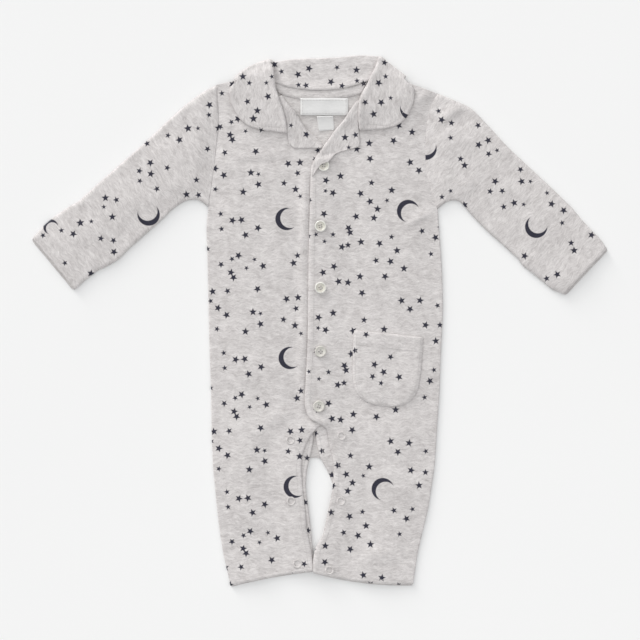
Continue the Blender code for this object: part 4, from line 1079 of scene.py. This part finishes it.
def field(stars, moons, repeat, draws, odd, leg=None):
    """The print of a front: its repeat drawn aside, and the stars that are off the repeat."""
    return np.concatenate((pulled(chart(stars, moons, repeat, REPEATS), draws, leg), chart(odd)))


LEFT_MOTIFS = field(LEFT_STARS, LEFT_MOONS, LEFT_REPEAT, LEFT_DRAWS, LEFT_ODD_STARS)
RIGHT_MOTIFS = field(RIGHT_STARS, RIGHT_MOONS, RIGHT_REPEAT, RIGHT_DRAWS, RIGHT_ODD_STARS,
                     RIGHT_LEG_TURN)
surfaces = {}           # the upper surface of each laid piece, for what lies or is sewn on it
grids = {}              # its points in plan
armholes = {}           # the fronts' upper points along the armholes, for the sleeves


# ---- the body ----
def half_rows(table, parts, inset, hem_drop=0.0):
    """Sections of one half of the body, their side ends moved in by the inset."""
    rows = np.array(filled(table), dtype=float)
    rows[0, [1, 3]] -= hem_drop
    rows = smoothed(rows, parts)
    rows[:, 0:2] += unit(rows[:, 2:4] - rows[:, 0:2]) * np.reshape(inset, (-1, 1))
    return rows


def side_insets(parts, side, armhole):
    """A value for each section: one down the side, another along the armhole."""
    row = np.arange(sum(parts) + 1)
    beyond = (row - sum(parts[:UNDERARM_ROW]) + INSET_ROWS) / INSET_ROWS
    return side + (armhole - side) * smooth_step(beyond)


def make_back():
    """Both halves in one sheet, joined above the crotch."""
    parts = parts_between([LEFT_HALF, RIGHT_HALF], BACK_SPACING)
    crotch = sum(parts[:len(LEFT_LEG)])
    halves = []
    inset = side_insets(parts, BACK_INSET, SEAM_GAP)
    for table, leg in ((LEFT_HALF, LEFT_LEG), (RIGHT_HALF, RIGHT_LEG)):
        table = [(*row[:2], *inner) for row, inner in zip(table, leg + BACK_CENTRE)]
        rows = half_rows(table, parts, inset, BACK_HEM_DROP)
        rows[-1, [1, 3]] -= BACK_INSET
        grid = section_grid(rows, BACK_COLUMNS)
        halves.append(stood(grid, laid(grid, reach=2, passes=8)))
    left, right = halves
    middle = (left[crotch:, -1] + right[crotch:, -1]) / 2
    middle[:, 2] = np.maximum(left[crotch:, -1, 2], right[crotch:, -1, 2])
    left[crotch:, -1] = right[crotch:, -1] = middle
    rows, columns = left.shape[:2]
    faces = grid_faces(rows, columns)
    number = np.arange(rows * columns) + rows * columns
    shared = np.arange(crotch, rows) * columns + columns - 1
    number[shared] = shared
    used, both = np.unique(np.concatenate((faces, number[faces][:, ::-1])), return_inverse=True)
    low = np.concatenate(halves).reshape(-1, 3)[used]
    top = low + (0.0, 0.0, CLOTH)
    thing = wall("back_cloth", low, top, faces=both.reshape(-1, 4))
    for half in halves:
        cover(half + (0.0, 0.0, CLOTH))
    stamp(thing, np.concatenate((LEFT_MOTIFS, RIGHT_MOTIFS)), facing=-1)
    declare(thing)


def make_front(node, table, motifs, creases):
    """A front with its leg: rolled down its side, flat at the armhole, its centre edge free."""
    parts = BODY_PARTS
    rows = half_rows(table, parts, side_insets(parts, SIDE_ROLL, SEAM_GAP / 2))
    rows[-1, [1, 3]] -= SEAM_ROLL
    grid = section_grid(rows, BODY_COLUMNS)
    edge = from_edges(grid)
    side, centre, hem = edge["column_start"], edge["column_end"], edge["row_start"]
    near = np.minimum(side, np.maximum(centre - PLACKET_LAP, 0.0))
    lift = FRONT_EASE * smooth_step(near / EASE_REACH)
    lift += (creased(grid, creases) + ripples(grid, node)) * smooth_step(
        np.minimum(side, centre) / FOLD_FADE)
    low = laid(grid, reach=2, passes=60) + np.maximum(lift, 0.0)
    placket = smooth_step((grid[..., 1] - PLACKET_FOOT) / PLACKET_RISE)
    top = low + CLOTH + bead(centre, *PLACKET_BEAD) * placket
    top += groove(centre, *PLACKET_SEAM) * placket
    top += thinned(centre, *LEG_THIN) * (1 - placket)
    top += bead(hem, *HEM_BEAD) + groove(hem, *HEM_SEAM)
    top += groove(side, 0.0, SEAM_DIP, SEAM_WIDTH) * side_insets(parts, 0.0, 1.0)[:, None]
    for x, y in POPPERS["left"] + POPPERS["right"]:
        away = np.hypot(grid[..., 0] - x, grid[..., 1] - y)
        depth, width = POPPER_DIMPLE
        height, radius, rim_width = POPPER_RIM
        top += groove(away, 0.0, depth, width) + groove(away, radius, -height, rim_width)
    outer, inner = stood(grid, top), stood(grid, low)
    surfaces[node], grids[node] = cover(outer), grid
    start = sum(parts[:UNDERARM_ROW])
    armholes[node] = outer[start:, 0].copy()
    share = side_insets(parts, 1.0, 0.0)
    radius = SEAM_ROLL + ((outer[:, 0, 2] - SIDE_CLEAR) / 2 - SEAM_ROLL) * share
    turn = math.radians(SEAM_TURN) + math.radians(SIDE_TURN) * share
    outer, inner = rolled(outer, inner, "column_start", radius, turn, SIDE_STEPS)
    outer, inner = rolled(outer, inner, "row_end", SEAM_ROLL, math.radians(SHOULDER_TURN),
                          SHOULDER_STEPS)
    rim = np.full(outer.shape[:2], RIM)
    rim[start:, :2] = SEWN_RIM
    thing = wall(f"{node}_cloth", outer, inner, rim=rim)
    stamp(thing, motifs)
    declare(thing)


BODY_PARTS = parts_between([LEFT_HALF, RIGHT_HALF], BODY_SPACING)


# ---- sleeves ----
def sleeve_frame(row):
    """A section's upper point, its width, and the ways down it and out towards the cuff."""
    upper, lower = np.array(row[0:2]), np.array(row[2:4])
    width = np.linalg.norm(lower - upper)
    down = (lower - upper) / width
    outward = np.array((down[1], -down[0]))
    return upper, width, down, -outward if outward[0] * upper[0] < 0 else outward


def sleeve_section(row, wall_inset, lip):
    """Points round one section of a sleeve; wall_inset moves them in by the wall."""
    upper, width, down, outward = sleeve_frame(row)
    index = np.arange(SLEEVE_AROUND)
    on_top = index <= SLEEVE_HALF
    step = np.where(on_top, index, SLEEVE_AROUND - index) / SLEEVE_HALF
    t = SLEEVE_ROUND * (1 - np.cos(np.pi * step)) / 2 + SLEEVE_EVEN * step
    t[0], t[SLEEVE_HALF] = 0.0, 1.0
    distance = wall_inset + (width - 2 * wall_inset) * t
    from_fold = np.minimum(distance, width - distance)
    turned = np.minimum((from_fold - wall_inset) / (SLEEVE_ROLL - wall_inset), 1.0)
    share = np.sqrt(np.maximum(1 - (1 - turned) ** 2, 0.0))
    place = upper + np.outer(distance, down) + np.outer(row[4] * 4 * t * (1 - t), outward)
    rise = SLEEVE_EASE * smooth_step(from_fold / SLEEVE_EASE_REACH)
    rise += (creased(place, SLEEVE_CREASES) + ripples(place, "sleeve")) * smooth_step(
        from_fold / FOLD_FADE)
    rise = np.maximum(rise, SLEEVE_LEAST)
    top = SLEEVE_MIDDLE + (SLEEVE_TOP + rise - wall_inset - SLEEVE_MIDDLE) * share
    bottom = SLEEVE_MIDDLE - (SLEEVE_MIDDLE - wall_inset) * share
    place = np.where(on_top[:, None], place, place + outward * (lip * share)[:, None])
    return stood(place, np.where(on_top, top, bottom))


def make_sleeve(side, table, body, motifs):
    rows = smoothed(table, parts_between([table], BODY_SPACING))
    count, half = len(rows), SLEEVE_HALF
    lips = (np.arange(count) - count + 1 + CUFF_LIP_ROWS) / CUFF_LIP_ROWS
    lips = CUFF_LIP * smooth_step(lips)
    outer, inner = (np.array([sleeve_section(row, inset, lip) for row, lip in zip(rows, lips)])
                    for inset in (0.0, CLOTH))
    armhole = half_rows(body, BODY_PARTS, 0.0)[sum(BODY_PARTS[:UNDERARM_ROW]):, :2]
    away = math.copysign(SEAM_GAP / 2, table[0][0])
    for rings in (outer, inner):
        rings[0, :, 0] = np.interp(rings[0, :, 1], armhole[:, 1], armhole[:, 0]) + away
    edge = armholes[f"front_{side}"]
    upper = outer[:, :half + 1]
    distance = np.linalg.norm(upper[..., :2] - upper[:1, :, :2], axis=2)
    ends = smooth_step(np.minimum(np.arange(half + 1), half - np.arange(half + 1)) / SLEEVE_FADE)
    seam_level = np.interp(upper[0, :, 1], edge[:, 1], edge[:, 2]) + SEAM_DIP
    change = (seam_level - upper[0, :, 2]) * ends * (1 - smooth_step(distance / SEAM_REACH))
    change += groove(distance, 0.0, SEAM_DIP, SEAM_WIDTH) * ends
    for rings in (outer, inner):
        rings[:, :half + 1, 2] += change
    corner, _, _, outward = sleeve_frame(table[CUFF_EDGE_ROW])
    cuff = (upper[..., :2] - corner) @ outward
    relief = bead(cuff, *CUFF_BEAD) + groove(cuff, *CUFF_STEP) + groove(cuff, *CUFF_SEAM)
    upper[..., 2] += relief * ends
    rim = np.full(outer.shape[:2], RIM)
    rim[0] = SEWN_RIM
    faces = grid_faces(count, SLEEVE_AROUND, wrap=True)
    thing = wall(f"sleeve_{side}_cloth", outer, inner, rim=rim, faces=faces)
    stamp(thing, motifs)
    declare(thing)
    surfaces[f"sleeve_{side}"] = cover(upper)


# ---- collar ----
def add_fall(outer, inner, steps, tuck):
    """Carry a folded-over sheet on under the back, as far as the fall's lower edge.

    tuck raises it, so that the stand's ends lie inside those of the leaves.
    """
    start, level = outer[-1, :, :2], outer[-1, :, 2] + tuck
    roll_x, edge_x, edge_y = np.array(COLLAR_FALL).T
    end = np.stack([np.interp(start[:, 0], roll_x, to) for to in (edge_x, edge_y)], axis=1)
    share = np.linspace(0, 1, steps + 1)[1:, None, None]
    plan = start + (end - start) * share
    low = stood(plan, np.broadcast_to(level, plan.shape[:2]))
    high = low + (inner[-1] - outer[-1]) * (0, 0, 1)
    return np.concatenate((outer, low)), np.concatenate((inner, high))


def lay_fall():
    """The fall is on the floor before the back is laid on it."""
    roll_x, *edge = np.array(COLLAR_FALL).T
    edge = np.stack(edge, axis=1)
    fold = np.stack((roll_x, np.interp(roll_x, *FALL_FOLD)), axis=1)
    plan = fold + (edge - fold) * np.linspace(0, 1, FALL_ROWS)[:, None, None]
    cover(stood(plan, np.full(plan.shape[:2], TWO_PLY)))


def make_collar_part(name, grid, ply, passes, relief, motifs, tuck=0.0):
    """One stretch of collar: the upper sheet, its fold at the last row, and the fall beneath."""
    heights = laid(grid, reach=2, passes=passes)
    top = heights + ply + relief(grid, from_edges(grid))
    outer, inner = stood(grid, top), stood(grid, heights)
    surfaces[name], grids[name] = cover(outer), grid
    outer, inner = rolled(outer, inner, "row_end", top[-1] / 2, math.pi, COLLAR_STEPS)
    outer, inner = add_fall(outer, inner, FALL_ROWS, tuck)
    thing = wall(name, outer, inner, (MARL, MARL))
    stamp(thing, motifs)
    declare(thing)


def leaf_relief(grid, edge):
    """A turned edge, and the topstitching that runs a little way in from it."""
    rim, roll = nearest(edge, "column_start", "row_start"), edge["column_end"]
    height, reach = LEAF_FULLNESS
    relief = bead(rim, *LEAF_BEAD) + groove(rim, *LEAF_SEAM)
    relief += bead(roll, *LEAF_ROLL_BEAD) + height * smooth_step(rim / reach)
    height, reach = LEAF_ROLL
    upper = smooth_step((grid[..., 1] - LEAF_ROLL_FROM) / LEAF_ROLL_RISE)
    return relief + height * upper * np.exp(-(roll / reach) ** 2) + ripples(grid, "leaf")


def stand_relief(grid, edge):
    seam = edge["row_start"]
    relief = thinned(seam, *STAND_THIN) + groove(seam, *STAND_SEAM)
    return relief + creased(grid, STAND_CREASES) + ripples(grid, "stand")


def make_collar():
    grid = table_grid(COLLAR_STAND, STAND_COLUMNS).transpose(1, 0, 2)[::-1]
    make_collar_part("collar_stand", grid, CLOTH, 10, stand_relief, chart(STAND_STARS), FALL_TUCK)
    for side, table in (("left", LEFT_LEAF), ("right", RIGHT_LEAF)):
        make_collar_part(f"collar_{side}", table_grid(table, LEAF_COLUMNS)[::-1], TWO_PLY, 25,
                         leaf_relief, chart(COLLAR_STARS, COLLAR_MOONS))


# ---- flat pieces ----
def lay_flat(name, grid, heights, top, motifs=None, area=None, fold=None, **looks):
    """A flat piece from its underside to its top, with one border rolled under where it folds."""
    node = CUTS[name][0]
    outer, inner = stood(grid, top), stood(grid, heights)
    surfaces[node], grids[node] = cover(outer), grid
    area = area or area_of(inner)
    if fold:
        outer, inner = rolled(outer, inner, *fold)
    thing = wall(name, outer, inner, **looks)
    if motifs is not None:
        stamp(thing, motifs)
    declare(thing)


def make_leg_facing(name, table):
    grid = table_grid(table, FACING_COLUMNS, BODY_SPACING)
    heights = laid(grid, reach=2, passes=20)
    free = from_edges(grid)["column_end"]
    top = heights + FACING + bead(free, *FACING_BEAD) + groove(free, *FACING_SEAM)
    lay_flat(name, grid, heights, top, chart(FACING_STARS))


def make_lapel(side, table):
    """The facing turned back along the neck; its last rows can thin away into the edge below."""
    parts = parts_between([table], TRIM_SPACING)
    rows = smoothed(table, parts)
    thick = rows[:, 4:].copy()
    rows[:, 4] = 0.0
    grid = section_grid(rows, LAPEL_COLUMNS)
    heights = laid(grid, reach=2, passes=12)
    edge = from_edges(grid)
    relief = bead(edge["column_start"], *LAPEL_BEAD) + bead(edge["column_end"], *LAPEL_ROLL_BEAD)
    relief += ripples(grid, "lapel")
    top = heights + thick + relief * np.clip(thick - LAPEL_FADE, 0.0, 1.0)
    least, added, reach = LAPEL_ROLL
    roll = least + added * smooth_step((thick[:, 0] - LAPEL_FADE) / reach)
    lay_flat(f"lapel_{side}_cloth", grid, heights, top, chart(LAPEL_STARS),
             area_of(stood(grid, heights * 0)),
             ("column_end", roll, math.radians(LAPEL_TURN), LAPEL_STEPS))


def make_pocket():
    grid = table_grid(POCKET, POCKET_COLUMNS)
    heights = laid(grid, reach=2, passes=12)
    edge = from_edges(grid)
    rim, hem = nearest(edge, "column_start", "column_end", "row_end"), edge["row_start"]
    extra, depth, step = POCKET_HEM
    top = heights + POCKET_EDGE + (CLOTH - POCKET_EDGE) * smooth_step(rim / POCKET_RISE)
    top += groove(rim, *POCKET_SEAM) + groove(hem, *POCKET_HEM_SEAM)
    top += extra * (1 - smooth_step((hem - depth) / step))
    top += ripples(grid, "pocket") * smooth_step(rim / POCKET_RIPPLE_REACH)
    lay_flat("pocket_cloth", grid, heights, top, chart(POCKET_STARS))


def make_trim(name, table, columns, thick, finish, motifs=None):
    grid = table_grid(table, columns)
    heights = laid(grid, reach=1, passes=10)
    rim = nearest(from_edges(grid), "column_start", "column_end", "row_start", "row_end")
    share, width = TRIM_THIN
    top = heights + thick + thinned(rim, share * thick, width)
    top += groove(rim, *TRIM_SEAM) + ripples(grid, "trim")
    lay_flat(name, grid, heights, top, motifs, finishes=(finish, finish), rim=TRIM_RIM)


# ---- buttons and poppers ----
def tubes(name, many, finishes=(), smooth=True):
    """Capped tubes in one mesh, each made of rings of points."""
    points, faces = [], []
    for rings in many:
        count, sides = rings.shape[:2]
        corners = np.arange(count * sides).reshape(count, sides) + len(points)
        faces += (grid_faces(count, sides, wrap=True) + len(points)).tolist()
        faces += [corners[0, ::-1].tolist(), corners[-1].tolist()]
        points += rings.reshape(-1, 3).tolist()
    return made(name, points, faces, finishes, smooth)


def bar(start, end, radius, arch):
    """Rings of points round a short arched bar of thread."""
    start, end = np.array(start), np.array(end)
    along = unit(end - start)
    side = unit(np.cross(along, (0.0, 0.0, 1.0)))
    t = np.linspace(0, 1, BAR_RINGS)[:, None, None]
    centre = start + (end - start) * t + np.array((0, 0, arch)) * 4 * t * (1 - t)
    size = radius * np.sqrt(np.maximum(1 - (2 * t - 1) ** BAR_POWER, BAR_LEAST))
    across, up = circle(1.0, BAR_SIDES).T[..., None]
    return centre + size * (side * across + np.cross(side, along) * up)


def bars(name, ends, radius, arch):
    thing = tubes(name, [bar(start, end, radius, arch) for start, end in ends], [SEWING])
    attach(thing, "root")


def place_node(thing, node, x, y, level):
    """Set a button or popper down where it is sewn, and let it stand for its node."""
    thing.location = (x * MM, y * MM, level * MM)
    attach(thing, "root")
    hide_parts(node)


def turned_button(name, finishes):
    """A button turned about its own Z axis; its dish takes the second finish, on the upper buttons
    a painted shade.
    """
    sides, rings = BUTTON_SIDES, BUTTON_PROFILE[1:-1]
    points = [(x, y, height) for radius, height in rings for x, y in circle(radius, sides)]
    points += [(0.0, 0.0, BUTTON_PROFILE[end][1]) for end in (0, -1)]
    last, top = (len(rings) - 1) * sides, len(rings) * sides
    faces = grid_faces(len(rings), sides, wrap=True)[:, ::-1].tolist()
    faces += [(top, side, (side + 1) % sides) for side in range(sides)]
    faces += [(top + 1, last + (side + 1) % sides, last + side) for side in range(sides)]
    thing = made(name, points, faces, finishes)
    for number, face in enumerate(thing.data.polygons):
        face.material_index = int(number // sides in (*range(BUTTON_DISHED), len(rings) - 1))
    return thing


def drill(thing):
    """Four thread holes through a button."""
    rings = []
    for hole in range(4):
        turn = math.radians(45 + 90 * hole)
        centre = np.array((math.cos(turn), math.sin(turn))) * HOLE_OFFSET
        ring = circle(HOLE_RADIUS, HOLE_SIDES) + centre
        rings.append(np.array([stood(ring, np.full(HOLE_SIDES, end)) for end in HOLE_ENDS]))
    tool = tubes("drill", rings, smooth=False)
    cut = thing.modifiers.new("holes", "BOOLEAN")
    cut.operation = "DIFFERENCE"
    cut.solver = "EXACT"
    cut.object = tool
    bpy.context.view_layer.update()
    evaluated = thing.evaluated_get(bpy.context.evaluated_depsgraph_get())
    drilled = bpy.data.meshes.new_from_object(evaluated)
    thing.modifiers.clear()
    thing.data = drilled
    drilled.set_sharp_from_angle(angle=math.radians(HOLE_CREASE))
    bpy.data.objects.remove(tool)


def make_button(index):
    x, y = BUTTONS[index]
    node = f"button_{index + 1}"
    level = float(level_at(3, (x, y))) + BUTTON_GAP
    # Upper buttons: rim with a painted highlight, dish with painted shade; lower ones: a darker
    # copy of the pearl, painted shade
    thing = turned_button(f"pearl_{node}", (BUTTON_LIT, DISH_SHADED) if index < 3 else (DULL_SHADED, DULL_SHADED))
    drill(thing)
    turn = math.radians(BUTTON_TURN * index)
    thing.rotation_euler.z = turn
    place_node(thing, node, x, y, level)
    spin = np.array(((math.cos(turn), -math.sin(turn)), (math.sin(turn), math.cos(turn))))
    reach = HOLE_OFFSET * math.sqrt(0.5)
    ends = []
    for side in (-reach, reach):
        for shift in (-TIE_SHIFT, TIE_SHIFT):
            ends.append([(*(spin @ (along, side + shift) + (x, y)), level + TIE_HEIGHT)
                         for along in (reach, -reach)])
    bars(f"button_thread_{index + 1}", ends, TIE_RADIUS, TIE_ARCH)
    if index == 0:
        radius, height, sides = BUTTON_COVER
        rim = circle(radius, sides)[np.arange(sides + 1) % sides]
        rings = np.array((0, 0.5, 1))[:, None, None] * rim + (x, y)
        cover(stood(rings, np.full(rings.shape[:2], level + height)))


def make_poppers():
    middle, half_width, half_thick = POPPER_RING
    around, across = POPPER_STEPS
    wide, high = circle(1.0, across).T * ((half_width,), (half_thick,))
    spokes = circle(1.0, around)[:, None] * (middle + wide)[:, None]
    points = stood(spokes, np.broadcast_to(high, (around, across))).reshape(-1, 3)
    faces = grid_faces(around, across, wrap=True, loop=True)[:, [0, 3, 2, 1]].tolist()
    for side, places in POPPERS.items():
        for index, (x, y) in enumerate(places):
            node = f"popper_{side}_{index + 1}"
            thing = made(f"ring_{node}", points, faces, [PLAIN])
            grain(thing, 0.0)
            place_node(thing, node, x, y,
                       float(level_at(3, (x, y))) + half_thick * POPPER_RISE)


# ---- stitching ----
def inset_path(grid, distance, sides):
    """A path at a distance in from some borders of a grid; a minus sign runs one backwards."""
    edge = from_edges(grid)
    path = []
    for side in sides:
        border = side.lstrip("-")
        across = border.startswith("row")
        lines = grid.transpose(1, 0, 2) if across else grid
        far = edge[border].T if across else edge[border]
        found = []
        for line, reach in zip(lines, far):
            order = np.argsort(reach)
            found.append([np.interp(distance, reach[order], line[order, axis])
                          for axis in (0, 1)])
        path += found[::-1] if side.startswith("-") else found
    return np.array(path)


def sew(name, node, distance, *sides):
    """A row of stitches on a piece, at a distance in from some of its borders."""
    path = inset_path(grids[node], distance, sides)
    steps = np.linalg.norm(np.diff(path, axis=0), axis=1)
    length = np.concatenate(((0.0,), np.cumsum(steps)))
    ends = []
    place = 0.0
    while place + STITCH < length[-1]:
        pair = []
        for at in (place, place + STITCH):
            x, y = (float(np.interp(at, length, path[:, axis])) for axis in (0, 1))
            hit = surfaces[node].ray_cast(Vector((x, y, RAY_TOP)), DOWN)[0]
            if hit is not None:
                pair.append((x, y, hit.z + STITCH_RADIUS * STITCH_RISE))
        if len(pair) == 2:
            ends.append(pair)
        place += STITCH + STITCH_GAP
    bars(name, ends, STITCH_RADIUS, STITCH_ARCH)


def make_stitching():
    for side in ("left", "right"):
        sew(f"placket_stitches_{side}", f"front_{side}", PLACKET_SEAM[0], "column_end")
        sew(f"hem_stitches_{side}", f"front_{side}", HEM_SEAM[0], "row_start")
        sew(f"facing_stitches_{side}", f"leg_facing_{side}", FACING_SEAM[0], "column_end")
        sew(f"collar_stitches_{side}", f"collar_{side}", LEAF_SEAM[0],
            "-column_start", "row_start")
    sew("tape_stitches_upper", "neck_tape", TAPE_INSET, "column_start")
    sew("tape_stitches_lower", "neck_tape", TAPE_INSET, "column_end")
    sew("pocket_stitches", "pocket", POCKET_SEAM[0], "column_start", "row_end", "-column_end")
    sew("pocket_hem_stitches", "pocket", POCKET_HEM_SEAM[0], "row_start")
    sew("label_stitches_large", "label_main", LARGE_INSET,
        "-column_start", "row_start", "column_end", "-row_end")
    sew("label_stitches_small", "label_size", SMALL_INSET, "row_start")


# ---- making it ----
def make_all():
    """The pieces from the floor up, each laid on those before it."""
    lay_fall()
    make_back()
    make_leg_facing("facing_left", LEFT_FACING)
    make_leg_facing("facing_right", RIGHT_FACING)
    make_trim("tape_cloth", NECK_TAPE, TAPE_COLUMNS, TRIM, MARL, chart(STAND_STARS))
    make_trim("label_large", LARGE_LABEL, LARGE_COLUMNS, LABEL, SATIN)
    make_trim("label_small", SMALL_LABEL, SMALL_COLUMNS, LABEL, SATIN_GREY)
    make_front("front_left", LEFT_HALF, LEFT_MOTIFS, LEFT_CREASES)
    make_front("front_right", RIGHT_HALF, RIGHT_MOTIFS, RIGHT_CREASES)
    make_button(0)
    make_lapel("left", LEFT_LAPEL)
    make_lapel("right", RIGHT_LAPEL)
    make_pocket()
    make_collar()
    make_sleeve("left", LEFT_SLEEVE, LEFT_HALF, chart(LEFT_SLEEVE_STARS, LEFT_SLEEVE_MOONS))
    make_sleeve("right", RIGHT_SLEEVE, RIGHT_HALF, chart(RIGHT_SLEEVE_STARS, RIGHT_SLEEVE_MOONS))
    for index in range(1, len(BUTTONS)):
        make_button(index)
    make_poppers()
    make_stitching()


def make_sun(name, share, elevation, azimuth, spread_angle, tint):
    light = bpy.data.lights.new(name, "SUN")
    elevation, azimuth = math.radians(elevation), math.radians(azimuth)
    light.energy = share * math.pi * FLOOR_LIGHT / math.sin(elevation)
    light.angle = math.radians(spread_angle)
    light.color = tint
    lamp = bpy.data.objects.new(name, light)
    level = math.cos(elevation)
    towards = Vector((-math.sin(azimuth) * level, math.cos(azimuth) * level,
                      math.sin(elevation)))
    lamp.rotation_mode = "QUATERNION"
    lamp.rotation_quaternion = towards.to_track_quat("Z", "Y")
    lamp.location = towards * SUN_DISTANCE
    bpy.context.scene.collection.objects.link(lamp)


def make_stage():
    """A pale floor, soft light from above and the upper left, and the camera straight above."""
    corners = [(x * FLOOR_HALF, y * FLOOR_HALF, -FLOOR_DEPTH)
               for x, y in ((-1, -1), (1, -1), (1, 1), (-1, 1))]
    made("floor", corners, [(0, 1, 2, 3)], [floor_finish("pale_floor")])
    scene = bpy.context.scene
    scene.world = bpy.data.worlds.new("studio")
    scene.world.use_nodes = True
    background = scene.world.node_tree.nodes["Background"].inputs
    background["Color"].default_value = WORLD_TINT
    background["Strength"].default_value = WORLD_SHARE * FLOOR_LIGHT
    for row in SUNS:
        make_sun(*row)
    data = bpy.data.cameras.new("camera")
    data.lens = LENS
    data.sensor_width = SENSOR
    data.clip_start, data.clip_end = CLIP
    camera = bpy.data.objects.new("camera", data)
    height = PICTURE * SQUARE * MM * LENS / SENSOR
    camera.location = (0.0, SQUARE * MM, height + FOCUS_HEIGHT)
    scene.collection.objects.link(camera)
    scene.camera = camera
    scene.view_settings.view_transform = "Standard"


make_all()
make_stage()
